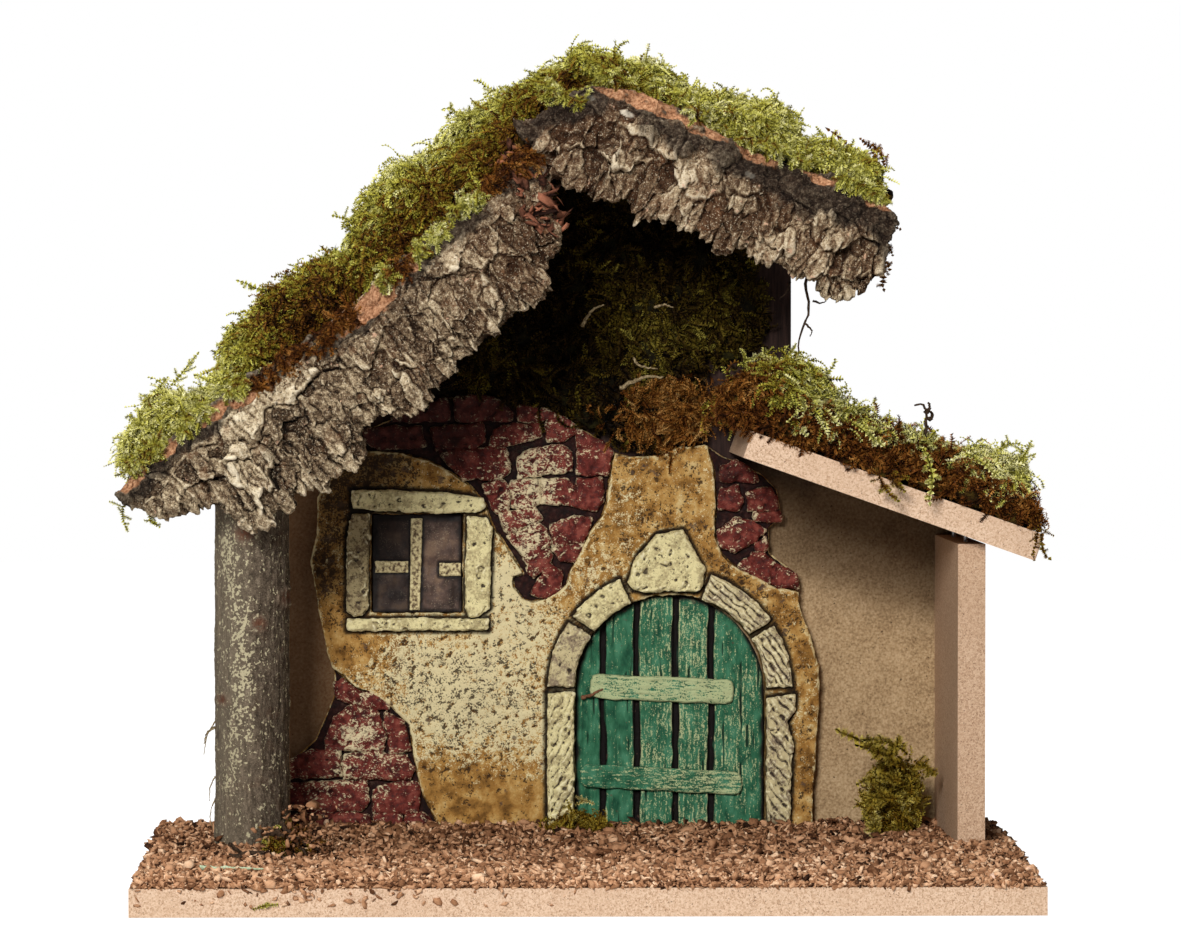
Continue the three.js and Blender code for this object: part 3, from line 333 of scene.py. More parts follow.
# Fasteners: bright zinc pins and screws, driven in from behind, from above and from below.
# Each sits in a hole of its own. Most pins show their heads on the back, and the screws theirs below.
def zinc_finish():
    finish = Finish("bright_zinc", 0.32, Metallic=1.0, Specular_IOR_Level=0.5)
    body = finish.ramp(finish.grain(0.6, 3), [(0.3, "8f9296"), (0.7, "c9ccd0")])
    return finish.done(body, finish.grain(0.25, 2), 0.02)


zinc = zinc_finish()
for fastener in nodes:
    if "_pin" in fastener or "_screw" in fastener:
        refinish(fastener, zinc)


# Facade panel: a cast slab with a coat of stucco, painted ochre, wiped with black and dry-brushed
# with cream. Black painted shade lies under the eaves, beside the post and in the seams round the
# stones. It is glued on the back panel, and is worked here at under a millimetre.
def scramble(cell, seed):
    """A fixed whole number for each cell of a lattice."""
    code = (cell[:, 0] * 73856093) ^ (cell[:, 1] * 19349663) ^ (cell[:, 2] * 83492791) ^ (seed * 2654435761)
    code &= 0xFFFFFFFF
    code = ((code ^ (code >> 15)) * 2246822519) & 0xFFFFFFFF
    code = ((code ^ (code >> 13)) * 3266489917) & 0xFFFFFFFF
    return code ^ (code >> 16)


def unevenness(points, size, seed, layers=1):
    """Rough lumps between about -1 and 1. The size is in millimetres, as one number or three."""
    total = np.zeros(len(points))
    strength, reach = 1.0, 0.0
    for layer in range(layers):
        place = points / (np.asarray(size, float) * 0.5 ** layer) + 31.7 * layer
        cell = np.floor(place).astype(np.int64)
        inside = place - cell
        fade = inside ** 3 * (inside * (inside * 6 - 15) + 10)
        for corner in np.ndindex(2, 2, 2):
            code = scramble(cell + corner, seed + layer)
            slant = ((code[:, None] >> np.array([0, 10, 20])) & 1023) / 511.5 - 1
            weight = np.prod(np.where(corner, fade, 1 - fade), axis=1)
            total += strength * weight * (slant * (inside - corner)).sum(1)
        reach += strength
        strength *= 0.5
    return total * 1.7 / reach


def plates(points, size, seed):
    """Cracked plates: the way to the nearest crack, the plate's number, and the way from its middle."""
    place = points / np.asarray(size, float)
    cell = np.floor(place).astype(np.int64)
    nearest = np.full(len(points), 9.0)
    second = np.full(len(points), 9.0)
    mark = np.zeros(len(points), np.int64)
    offset = np.zeros_like(place)
    for shift in np.ndindex(3, 3, 3):
        other = cell + np.subtract(shift, 1)
        code = scramble(other, seed)
        centre = other + ((code[:, None] >> np.array([0, 10, 20])) & 1023) / 1023
        distance = np.linalg.norm(place - centre, axis=1)
        closer = distance < nearest
        second = np.where(closer, nearest, np.minimum(second, distance))
        nearest = np.where(closer, distance, nearest)
        mark = np.where(closer, code >> 5, mark)
        offset = np.where(closer[:, None], place - centre, offset)
    return second - nearest, (mark & 1023) / 1023, offset


def soft_step(value, low, high):
    share = np.clip((value - low) / (high - low), 0, 1)
    return share * share * (3 - 2 * share)


def finer_copy(name, grid):
    """A copy of a solid with even faces of about grid millimetres."""
    shell = bpy.data.objects.new("shell", nodes[name].data.copy())
    bpy.context.scene.collection.objects.link(shell)
    remesh = shell.modifiers.new("even", "REMESH")
    remesh.mode = "VOXEL"
    remesh.voxel_size = grid * MM
    made = bpy.data.meshes.new_from_object(shell.evaluated_get(bpy.context.evaluated_depsgraph_get()))
    bpy.data.objects.remove(shell)
    made.materials.clear()
    return made


def points_of(mesh):
    flat = np.zeros(len(mesh.vertices) * 3, np.float32)
    mesh.vertices.foreach_get("co", flat)
    return flat.reshape(-1, 3).astype(float) / MM


def normals_of(mesh):
    flat = np.zeros(len(mesh.vertices) * 3, np.float32)
    mesh.vertex_normals.foreach_get("vector", flat)
    return flat.reshape(-1, 3).astype(float)


def move_points(mesh, points):
    mesh.vertices.foreach_set("co", (points * MM).astype(np.float32).ravel())
    mesh.update()


def note(mesh, name, values):
    """Keeps a number for each point, which the finish reads."""
    layer = mesh.attributes.new(name, "FLOAT", "POINT")
    layer.data.foreach_set("value", np.asarray(values, np.float32))


def blurred(mesh, points, rounds):
    pairs = np.zeros(len(mesh.edges) * 2, np.int32)
    mesh.edges.foreach_get("vertices", pairs)
    pairs = pairs.reshape(-1, 2)
    share = np.bincount(pairs.ravel(), minlength=len(points)).astype(float)[:, None]
    share[share == 0] = 1
    for _ in range(rounds):
        total = np.zeros_like(points)
        for axis in range(3):
            total[:, axis] = (
                np.bincount(pairs[:, 0], points[pairs[:, 1], axis], len(points))
                + np.bincount(pairs[:, 1], points[pairs[:, 0], axis], len(points)))
        points = 0.5 * points + 0.5 * total / share
    return points


def note_relief(mesh, rounds, depth, name="relief"):
    """0 in hollows, a half on flats, 1 on raised edges: where wash stays and a dry brush touches."""
    points = points_of(mesh)
    lift = ((points - blurred(mesh, points, rounds)) * normals_of(mesh)).sum(1)
    note(mesh, name, np.clip(0.5 + 0.5 * lift / depth, 0, 1))


def piece(name, mesh, material, slot_name, *stands_for, smooth=True):
    """A finished piece of the stable, riding with the house."""
    mesh.name = name
    mesh.materials.append(material)
    made = bpy.data.objects.new(name, mesh)
    bpy.context.scene.collection.objects.link(made)
    if smooth:
        mesh.shade_smooth()
    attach(made, "root")
    if stands_for:
        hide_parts(*stands_for)


def worked_piece(name, mesh, points, reliefs, material, slot_name, node_name, **notes):
    """A worked copy takes the place of its solid. The notes are what its finish reads at each point."""
    move_points(mesh, points)
    for relief in reliefs:
        note_relief(mesh, *relief)
    for key, values in notes.items():
        note(mesh, key, values)
    piece(name, mesh, material, slot_name, node_name)


def touches(points, spots):
    """How much of each spot [x, z, radius, strength] reaches each point of the facade."""
    total = np.zeros(len(points))
    for x, z, radius, strength in spots:
        away = ((points[:, 0] - x) ** 2 + (points[:, 2] - z) ** 2) / radius ** 2
        total += strength * np.exp(-away)
    return total


# Where the cream brush went, and the black wash with painted shade under the eaves and beside the
# post, as [x, z, radius, strength] in millimetres.
stucco_cream = [
    [-40, 68, 24, 0.9], [-20, 92, 17, 0.8], [-63, 78, 18, 0.55], [-55, 50, 20, 0.5], [-12, 50, 18, 0.7],
    [-32, 108, 10, 0.9], [-24, 118, 8, 0.6], [18, 138, 10, 0.25], [10, 112, 13, 0.45], [-86, 74, 9, 0.5],
    [80, 60, 8, 0.3], [-36, 20, 19, -0.6], [-10, 20, 13, -0.35], [-88, 84, 12, -0.5], [-54, 33, 10, -0.45],
]
stucco_wash_and_shade = [
    [-92, 140, 22, 1.0], [-97, 110, 14, 0.9], [-75, 158, 16, 0.9], [-45, 172, 20, 0.4], [20, 152, 12, 0.3],
    [34, 128, 11, 0.5], [62, 112, 13, 0.5], [80, 96, 10, 0.4], [8, 96, 8, 0.4], [-38, 62, 22, 0.5],
    [-70, 66, 16, 0.35], [-4, 68, 9, 0.35], [-35, 22, 14, -0.5],
]


def stucco_finish():
    finish = Finish("painted_stucco", 0.7)
    cream, wash, relief = finish.measure("cream"), finish.measure("wash"), finish.measure("relief")
    seam = finish.measure("seam")
    ochre = finish.ramp(finish.grain(6, 5, 0.64), [
        (0.34, "6e4c22"), (0.47, "a0753a"), (0.58, "bb9354"), (0.7, "ceb27a")])
    fine, coarse = finish.grain(0.6, 4, 0.68), finish.grain(2.2, 4, 0.62, shift=2)
    brush = finish.sum(
        (fine, 0.6), (coarse, 0.4), (cream, 0.17),
        (relief, 0.22), -0.135)
    body = finish.cover(ochre, "e2d5a8", brush, 0.548, 0.602, 0.92)
    spots = finish.sum(
        (finish.grain(0.75, 4, 0.62, shift=5), 0.58),
        (finish.grain(3.4, 5, 0.66, shift=9), 0.42),
        (wash, 0.07), (relief, -0.2), 0.1)
    body = finish.cover(body, "2e2016", spots, 0.55, 0.585, 0.88)
    blots = finish.sum(finish.grain(5.5, 5, 0.66, shift=12), (wash, 0.06))
    body = finish.cover(body, "54443a", blots, 0.63, 0.67, 0.75)
    # Black wash lower down, and painted shade under the eaves and beside the post.
    body = finish.cover(body, "20140b", wash, 0.3, 1.3, 0.75)
    body = finish.cover(body, "dccb98", relief, 0.74, 0.95, 0.65)
    # Painted shade in the seams round the stones, the panes and the door.
    body = finish.over(body, "15100b", seam)
    return finish.done(body, finish.sum(fine, coarse), 0.55)


def way_to(points, solids):
    """How far each point of the facade is from the nearest of some solids, in millimetres."""
    corners, faces = [], []
    for solid in solids:
        mesh = nodes[solid].data
        faces += [[v + len(corners) for v in polygon.vertices] for polygon in mesh.polygons]
        corners += [v.co / MM for v in mesh.vertices]
    tree = BVHTree.FromPolygons(corners, faces)
    return np.array([tree.find_nearest(point)[3] for point in points.tolist()])


stone_names = [
    "arch_stone_right_lower", "arch_stone_right_upper", "arch_stone_left_upper", "arch_stone_left_lower",
    "keystone", "arch_pier_left", "arch_pier_right", "window_lintel", "window_jamb_left",
    "window_jamb_right", "window_sill",
]
stucco = finer_copy("facade_panel", 0.72)
stucco_points, stucco_normals = points_of(stucco), normals_of(stucco)
cast_foot, cast_front = 82.5, 80
worked = soft_step(-stucco_points[:, 1], -cast_foot, -cast_front)
from_stone = way_to(stucco_points, stone_names + ["window_panes", "door_leaf"])
stucco_lumps = (
    0.8 * unevenness(stucco_points, 24, 11, 2) + 0.65 * unevenness(stucco_points, 5, 12, 3)
    - 0.5 * soft_step(unevenness(stucco_points, 2.8, 13), 0.25, 0.6))
stucco_lumps -= 0.5 * np.exp(-(from_stone / 1.4) ** 2)
stucco_points += stucco_normals * (stucco_lumps * worked)[:, None]
# The seams round the stones, panes and door, where painted shade goes.
seam_edge = from_stone + 0.5 * unevenness(stucco_points, 3, 14, 2)
worked_piece(
    "stucco_slab", stucco, stucco_points, [(6, 0.35)], stucco_finish(), "painted_stucco", "facade_panel",
    seam=0.95 * soft_step(-seam_edge, -2.1, -0.8) * worked,
    cream=touches(stucco_points, stucco_cream), wash=touches(stucco_points, stucco_wash_and_shade))


# Bricks: three fields of raised brick on a dark mortar bed, cast where the stucco is broken away.
# Dark red paint, black wash in the joints, cream on the raised faces and edges, and black painted
# shade on the top rows under the eaves and on the side bricks beside the post.
brick_cream = [
    [-33, 151, 7, 0.55], [-26, 156, 5, 0.3], [-44, 150, 5, 0.3], [-18, 156, 9, 1.3], [-9, 152, 6, 0.9],
    [-20, 142, 8, 1.2], [-12, 141, 7, 0.9], [-28, 134, 6, 0.7], [-17, 126, 7, 1.3], [-22, 120, 6, 0.9],
    [-9, 120, 3.5, 0.6], [-14, 111, 3, 0.7], [-3, 134, 4, 0.4], [5, 158, 4, 0.4], [-4, 165, 6, 0.5],
    [-84, 53, 6, 1.3], [-88, 50, 5, 1.1], [-78, 53, 5, 0.9], [-82, 65, 5, 0.8], [-90, 38, 6, 1.0],
    [-72, 41, 6, 1.0], [-100, 30, 7, 0.8], [-76, 29, 7, 0.7], [-82, 40, 6, 0.7], [-88, 28, 6, 0.5],
    [60, 130, 4, 0.6], [57, 122, 4, 0.5], [66, 135, 4, 0.4], [72, 118, 4, 0.3],
]
brick_shade = [
    [-60, 172, 18, 1.2], [-30, 178, 18, 0.9], [-78, 162, 14, 1.2], [-54, 158, 12, 0.7], [56, 148, 9, 0.9],
    [-104, 22, 8, 0.5], [-100, 45, 6, 0.4],
]


def brick_finish():
    finish = Finish("painted_brick", 0.5)
    relief, bed = finish.measure("relief"), finish.measure("bed")
    cream, dark = finish.measure("cream"), finish.measure("dark")
    red = finish.ramp(finish.grain(3.5, 4, 0.6), [(0.34, "3a1411"), (0.5, "642822"), (0.66, "88463b")])
    fine = finish.grain(0.58, 4, 0.66, stretch=(1.5, 1, 1))
    coarse = finish.grain(2.4, 4, 0.66, shift=3, stretch=(1.6, 1, 1))
    dust = finish.sum((fine, 0.7), (coarse, 0.3), (relief, 0.12), -0.06)
    body = finish.cover(red, "a8655a", dust, 0.57, 0.63, 0.5)
    brush = finish.sum(
        (fine, 0.62), (coarse, 0.38), (cream, 0.09),
        (relief, 0.3), -0.16)
    body = finish.cover(body, "ddd0a8", brush, 0.6, 0.65, 0.85)
    body = finish.cover(body, "3f2a2a", finish.grain(1.3, 4, 0.6, shift=4), 0.55, 0.62, 0.55)
    body = finish.cover(body, "140907", relief, 0.42, 0.16, 0.85)
    # Painted shade under the eaves and beside the post.
    body = finish.cover(body, "120b09", dark, 0.2, 1.2, 0.7)
    joint = finish.ramp(finish.grain(2.0, 4), [(0.4, "0d0606"), (0.6, "260e0b"), (0.8, "4a3830")])
    body = finish.over(joint, body, bed)
    finish.gloss(finish.step(finish.grain(3, 3, shift=2), -0.4, 1.4))
    return finish.done(body, finish.sum(fine, coarse), 0.5)


brick_paint = brick_finish()
mortar_face = 79
for number, field in enumerate(("upper_bricks", "lower_bricks", "side_bricks")):
    bricks = finer_copy(field, 0.5)
    shape = points_of(bricks)
    proud = soft_step(-shape[:, 1], -mortar_face - 0.2, -mortar_face + 1.6)
    chipped = (
        0.8 * unevenness(shape, 7, 21 + number, 3) + 0.5 * unevenness(shape, 2.4, 31 + number, 2)
        - 0.8 * soft_step(unevenness(shape, 4.5, 41 + number), 0.25, 0.6))
    front_side = soft_step(-shape[:, 1], -82, -80.5)
    outward_way = normals_of(bricks)
    to_side = 1 - np.abs(outward_way[:, 1])
    swollen = (0.65 + 0.45 * to_side) * proud + chipped * (0.35 + 0.65 * proud) * (1 - 0.5 * to_side)
    shape += outward_way * (swollen * front_side)[:, None]
    shape[:, 0] += 1.1 * proud * unevenness(shape, 5, 51 + number, 2)
    shape[:, 2] += 1.1 * proud * unevenness(shape, 5, 61 + number, 2)
    worked_piece(
        field.replace("bricks", "brickwork"), bricks, shape, [(4, 0.34)], brick_paint, "painted_brick",
        field, bed=proud, cream=touches(shape, brick_cream), dark=touches(shape, brick_shade))


# Stones: the arch, its piers, the keystone and the window's frame, cast proud of the stucco.
# Cream paint over grey, with black wash left in pits and in the tool marks across the arch, and
# painted shade at their feet where they meet the stucco.
def stone_finish(name, cream, under, hatch):
    finish = Finish(name, 0.72)
    relief, foot = finish.measure("relief"), finish.measure("foot")
    mottle = finish.sum((finish.grain(4.5, 4, 0.6), 0.6), (finish.grain(0.9, 4, 0.6), 0.4))
    body = finish.ramp(mottle, [(0.42, under), (0.53, cream), (0.7, cream)])
    body = finish.cover(body, "f3ebc4", relief, 0.6, 0.9, 0.7)
    pits = finish.sum(
        (finish.grain(0.6, 4, 0.64, shift=3), 0.58),
        (finish.grain(2.8, 5, 0.7, shift=6), 0.42), (relief, -0.22), 0.11)
    body = finish.cover(body, "35291e", pits, 0.565, 0.6, 0.88)
    body = finish.cover(body, "3a3029", relief, 0.42, 0.1, hatch)
    # Painted shade: black at the foot of each stone, where it meets the stucco.
    body = finish.over("15100b", body, foot)
    return finish.done(body, finish.sum(finish.grain(0.5, 3), finish.grain(1.6, 3)), 0.3)


pale_stone = stone_finish("cream_stone", "dbd09d", "a99b72", 0.9)
grey_stone = stone_finish("grey_cream_stone", "c3b58b", "857560", 1.0)
# The left jamb gets a darker copy of the stone paint, as painted shade on the window's left side.
shaded_stone = stone_finish("shaded_brown_stone", "a3946e", "5f503c", 1.0)

stone_bed = 76
hatched = {
    "arch_stone_right_lower": (35, 2.3, 0.75), "arch_stone_right_upper": (50, 2.3, 0.7),
    "arch_pier_right": (40, 3.4, 0.7), "arch_pier_left": (-30, 3.0, 0.5),
    "arch_stone_left_upper": (70, 4.0, 0.15), "arch_stone_left_lower": (-25, 5.0, 0.2),
}
stone_colours = {
    "arch_stone_right_lower": grey_stone, "arch_stone_right_upper": grey_stone,
    "arch_pier_right": grey_stone, "arch_stone_left_lower": grey_stone, "window_jamb_left": shaded_stone,
}
for number, name in enumerate(stone_names):
    block = finer_copy(name, 0.42)
    shape, normals = points_of(block), normals_of(block)
    facing = np.clip(-normals[:, 1], 0, 1)
    # Where a stone meets the stucco, for its painted shade.
    proud = soft_step(-shape[:, 1], -stone_bed + 0.1, -stone_bed + 1.6)
    hewn = (
        0.95 * unevenness(shape, 6.5, 71 + number, 3) + 0.4 * unevenness(shape, 2.0, 91 + number, 2)
        - 0.8 * soft_step(unevenness(shape, 3.0, 81 + number), 0.3, 0.6))
    if name in hatched:
        slant, spacing, depth = hatched[name]
        along = (
            shape[:, 0] * math.cos(math.radians(slant)) + shape[:, 2] * math.sin(math.radians(slant))
            + 0.9 * unevenness(shape, 4, 111 + number))
        hewn = hewn - depth * facing * soft_step(np.sin(2 * math.pi * along / spacing), 0.1, 0.9)
    shape += normals * (hewn * proud)[:, None]
    worked_piece(name + "_cast", block, shape, [(7, 0.35)], stone_colours.get(name, pale_stone),
                 "painted_stone", name, foot=proud)


# Window: dull purple-brown panes in one cast sheet, with crossed bars painted cream over brown.
# The bars stand a little proud of the panes, and the right one is broken off short. The panes carry
# painted shade: darker over the left half, and dark along the frame and beside the bars.
def pane_finish():
    finish = Finish("dull_panes", 0.5)
    body = finish.ramp(finish.grain(7, 3), [(0.36, "30241f"), (0.52, "54423a"), (0.68, "78614f")])
    dust = finish.step(finish.sum(finish.grain(0.5, 4, 0.6), (finish.grain(8, 2), 0.4)), 0.78, 0.9)
    body = finish.over(body, "a5957c", finish.times(dust, 0.45))
    split = finish.node("ShaderNodeSeparateXYZ", {"Vector": finish.place})
    # Painted shadow over the left half of the window.
    body = finish.cover(body, "140e0c", finish.times(split.outputs["X"], -1.0), 0.058, 0.066, 0.45)
    # Painted shade along the frame and beside the bars.
    body = finish.cover(body, "0d0909", finish.measure("corner"), 0.1, 0.8, 0.9)
    return finish.done(body, finish.grain(0.8, 3), 0.15)


def bar_finish():
    finish = Finish("brown_cream_bars", 0.65)
    body = finish.ramp(finish.sum((finish.grain(1.2, 3, 0.6), 0.6),
                                  (finish.measure("relief"), 0.5)),
                       [(0.4, "2a1e16"), (0.5, "6b5a43"), (0.57, "b9aa80"), (0.68, "ddd1a3")])
    return finish.done(body, finish.grain(0.6, 3), 0.2)


window_left, window_right, window_low, window_high = -78.6, -43.8, 97.2, 135.1
panes = finer_copy("window_panes", 0.5)
shape = points_of(panes)
bar_x, bar_z = -61.4, 114.7
aside, above = np.abs(shape[:, 0] - bar_x), np.abs(shape[:, 2] - bar_z)
pillow = 0.6 * np.minimum(1, aside / 4) * np.minimum(1, above / 4)
pane_front = soft_step(-shape[:, 1], -82.4, -81.4)
shape[:, 1] -= (pillow + 0.3 * unevenness(shape, (2.0, 3, 5), 131, 3)) * pane_front
# Painted shade along the frame, wider at the left and top, and beside the bars.
corner = np.maximum.reduce([
    1.3 - (shape[:, 0] - window_left) / 3.6, 1.2 - (window_right - shape[:, 0]) / 2.4,
    1.4 - (window_high - shape[:, 2]) / 3.6, 1.1 - (shape[:, 2] - window_low) / 2.4])
from_bars = way_to(shape, ["glazing_bar_upright", "glazing_bar_left", "glazing_bar_stub"])
corner = np.maximum(corner, 1.1 - from_bars / 1.6)
shade = 0.42 * soft_step(-shape[:, 0], 58, 66)
worked_piece("window_glazing", panes, shape, [], pane_finish(), "painted_pane", "window_panes",
             corner=np.clip(np.maximum(corner, shade), 0, 1))

bar_paint = bar_finish()
for number, name in enumerate(("glazing_bar_upright", "glazing_bar_left", "glazing_bar_stub")):
    bar = finer_copy(name, 0.3)
    shape = points_of(bar)
    shape += normals_of(bar) * (0.22 * unevenness(shape, 2.5, 141 + number, 2))[:, None]
    worked_piece(name + "_cast", bar, shape, [(5, 0.25)], bar_paint, "painted_stone", name)


# Door: five cast planks in one leaf with sunk joints, and two battens across them.
# Green paint, black in the joints, and cream dragged down the grain and over the battens.
def door_finish(name, brushed, lowest, highest):
    finish = Finish(name, 0.5)
    relief, joint, pale = finish.measure("relief"), finish.measure("joint"), finish.measure("pale")
    green = finish.ramp(finish.grain(4, 3, stretch=(1, 1, 2)), [
        (0.34, "1a4a35"), (0.5, "31694c"), (0.66, "478163")])
    fine = finish.grain(0.55, 4, 0.66)
    strokes = finish.sum(
        (finish.grain(0.6, 4, 0.62, stretch=brushed), 0.5), (fine, 0.5),
        (relief, 0.24), (pale, 0.16), -0.12)
    body = finish.cover(green, "c9cf9c", strokes, lowest, highest, 0.75)
    body = finish.cover(body, "120d0b", relief, 0.42, 0.12, 0.85)
    body = finish.over("14100f", body, joint)
    worn = finish.step(finish.grain(3.4, 4, 0.6, shift=6), 0.68, 0.72)
    body = finish.over(body, "5c4138", finish.times(worn, 0.6))
    return finish.done(body, finish.sum(fine, finish.grain(0.8, 4, stretch=brushed)), 0.45)


door_centre, door_half, door_spring = 34.7, 36.25, 68
joints_x = [9.4, 22.4, 37.1, 50.5]
plank_paleness = [0.05, 0.1, 0.45, 0.55, 0.35]
leaf = finer_copy("door_leaf", 0.42)
shape, normals = points_of(leaf), normals_of(leaf)
facing = np.clip(-normals[:, 1], 0, 1)
wander = shape[:, 0] + 0.8 * unevenness(shape, (60, 60, 24), 150)
wander += 0.35 * unevenness(shape, (60, 60, 6), 155)
from_joint = np.min([np.abs(wander - x) for x in joints_x], axis=0)
joint_half = 1.05 + 0.6 * unevenness(shape, (9, 9, 13), 156, 3)
plank = np.digitize(wander, joints_x)
grain_lines = unevenness(shape + plank[:, None] * 40.0, (1.1, 4, 14), 151, 2)
cracks = soft_step(unevenness(shape + plank[:, None] * 40.0, (1.7, 4, 20), 152), 0.4, 0.62)
carve = 0.45 * grain_lines - 0.9 * cracks + 0.6 * unevenness(shape, (6, 6, 14), 153)
in_joint = soft_step(joint_half - from_joint, -0.5, 0.5)
shape += normals * ((carve * (1 - in_joint) - 1.0 * in_joint) * facing)[:, None]
around = np.where(
    shape[:, 2] > door_spring, door_half - np.hypot(shape[:, 0] - door_centre, shape[:, 2] - door_spring),
    door_half - np.abs(shape[:, 0] - door_centre))
open_wood = 1 - soft_step(joint_half - from_joint, -0.35, 0.25)
worked_piece("door_planks", leaf, shape, [(6, 0.35)], door_finish("green_planks", (1, 1, 3.4), 0.595, 0.67),
             "green_paint", "door_leaf",
             joint=open_wood * soft_step(around + 0.8 * unevenness(shape, 6, 157), 0.8, 2.6),
             pale=np.choose(plank, plank_paleness) + 0.45 * unevenness(shape, 11, 154, 2))

batten_paint = door_finish("cream_green_battens", (4.5, 1, 1), 0.55, 0.615)
for number, name in enumerate(("door_batten_upper", "door_batten_lower")):
    batten = finer_copy(name, 0.4)
    shape, normals = points_of(batten), normals_of(batten)
    rough = 0.4 * unevenness(shape, (14, 3, 1.3), 161 + number, 2)
    rough += 0.4 * unevenness(shape, 6, 163 + number, 2)
    shape += normals * rough[:, None]
    reach = 0.02 + 0.55 * soft_step(shape[:, 0], 0, 62) if number else 0.85
    worked_piece(name + "_cast", batten, shape, [(6, 0.35)], batten_paint, "pale_green_paint", name,
                 joint=np.ones(len(shape)), pale=0.9 * reach + 0.35 * unevenness(shape, 9, 165 + number, 2))


# Left post: half of a split log with thin grey-brown bark, sawn flat behind and screwed to the base.
# Pale lichen runs down its left side, and five twigs were cut off flush and left knots. The bark is
# painted paler toward the left, as painted light.
def bark_finish():
    finish = Finish("log_bark", 0.88)
    relief, lichen, knot = finish.measure("relief"), finish.measure("lichen"), finish.measure("knot")
    sawn = finish.measure("sawn")
    fine = finish.grain(0.6, 4, 0.68)
    tone = finish.sum(
        (finish.grain(2.2, 5, 0.65, stretch=(1, 1, 2)), 0.4), (fine, 0.5), (relief, 0.3), -0.02)
    body = finish.ramp(tone, [(0.42, "1b1510"), (0.54, "4a3f34"), (0.64, "6d6051"), (0.78, "978975")])
    body = finish.cover(body, "573d2d", finish.grain(7, 3, shift=4), 0.55, 0.72, 0.35)
    # Painted light: the bark paler on the log's left side.
    body = finish.over(body, "a3957e", finish.times(finish.measure("sunny"), 0.38))
    crust = finish.sum(
        (finish.grain(1.0, 2, 0.5, shift=2), 0.55), (finish.grain(3, 4, 0.6, shift=7), 0.45),
        (lichen, 0.075), (relief, 0.12), -0.06)
    body = finish.cover(body, "cdc3a0", crust, 0.59, 0.62, 0.85)
    raw = finish.step(finish.grain(1.6, 3, 0.6, shift=8), 0.36, 0.5)
    body = finish.over(body, "6b4736", finish.times(raw, knot))
    wood = finish.ramp(finish.grain(1.2, 4, stretch=(1, 1, 14)), [(0.35, "a9794d"), (0.65, "d3a877")])
    body = finish.over(body, wood, sawn)
    return finish.done(body, finish.sum(fine, finish.grain(1.6, 4, stretch=(1, 1, 2))), 0.7)


knots = [(-134.5, 150, 4.0), (-122.5, 131, 4.2), (-118, 98, 3.2), (-108, 107, 3.4), (-131, 70, 2.5)]
log = finer_copy("left_post", 0.62)
shape, normals = points_of(log), normals_of(log)
barked = soft_step(-shape[:, 1], -13.8, -12.5)
rough = (
    0.6 * unevenness(shape, (5, 5, 16), 171, 2) + 0.35 * unevenness(shape, (1.3, 1.3, 4.5), 172, 2)
    + 0.15 * unevenness(shape, 1.1, 173))
knot_glow = np.zeros(len(shape))
outer = shape[:, 1] < 10
for x, z, radius in knots:
    away = np.hypot(shape[:, 0] - x, shape[:, 2] - z) / radius
    bulge = np.exp(-away ** 2) * outer
    ring = np.exp(-((away - 0.95) / 0.25) ** 2) * outer
    rough += 1.1 * bulge + 0.5 * ring - 0.8 * np.exp(-(away / 0.35) ** 2)
    knot_glow = np.maximum(knot_glow, np.exp(-(away / 0.75) ** 2) * outer)
shape += normals * (rough * barked)[:, None]
streak = np.exp(-((shape[:, 0] + 126.5 + 2.5 * np.sin(shape[:, 2] / 17)) / 4.5) ** 2)
streak *= soft_step(shape[:, 2], 25, 45) * soft_step(-shape[:, 2], -150, -125)
worked_piece("split_log_post", log, shape, [(8, 0.5)], bark_finish(), "bark_log", "left_post",
             lichen=np.clip(streak * 1.2 + 0.4 * unevenness(shape, (6, 6, 14), 174, 2), 0, 1.3),
             knot=knot_glow, sunny=soft_step(-shape[:, 0], 114, 134) * barked, sawn=1 - barked)


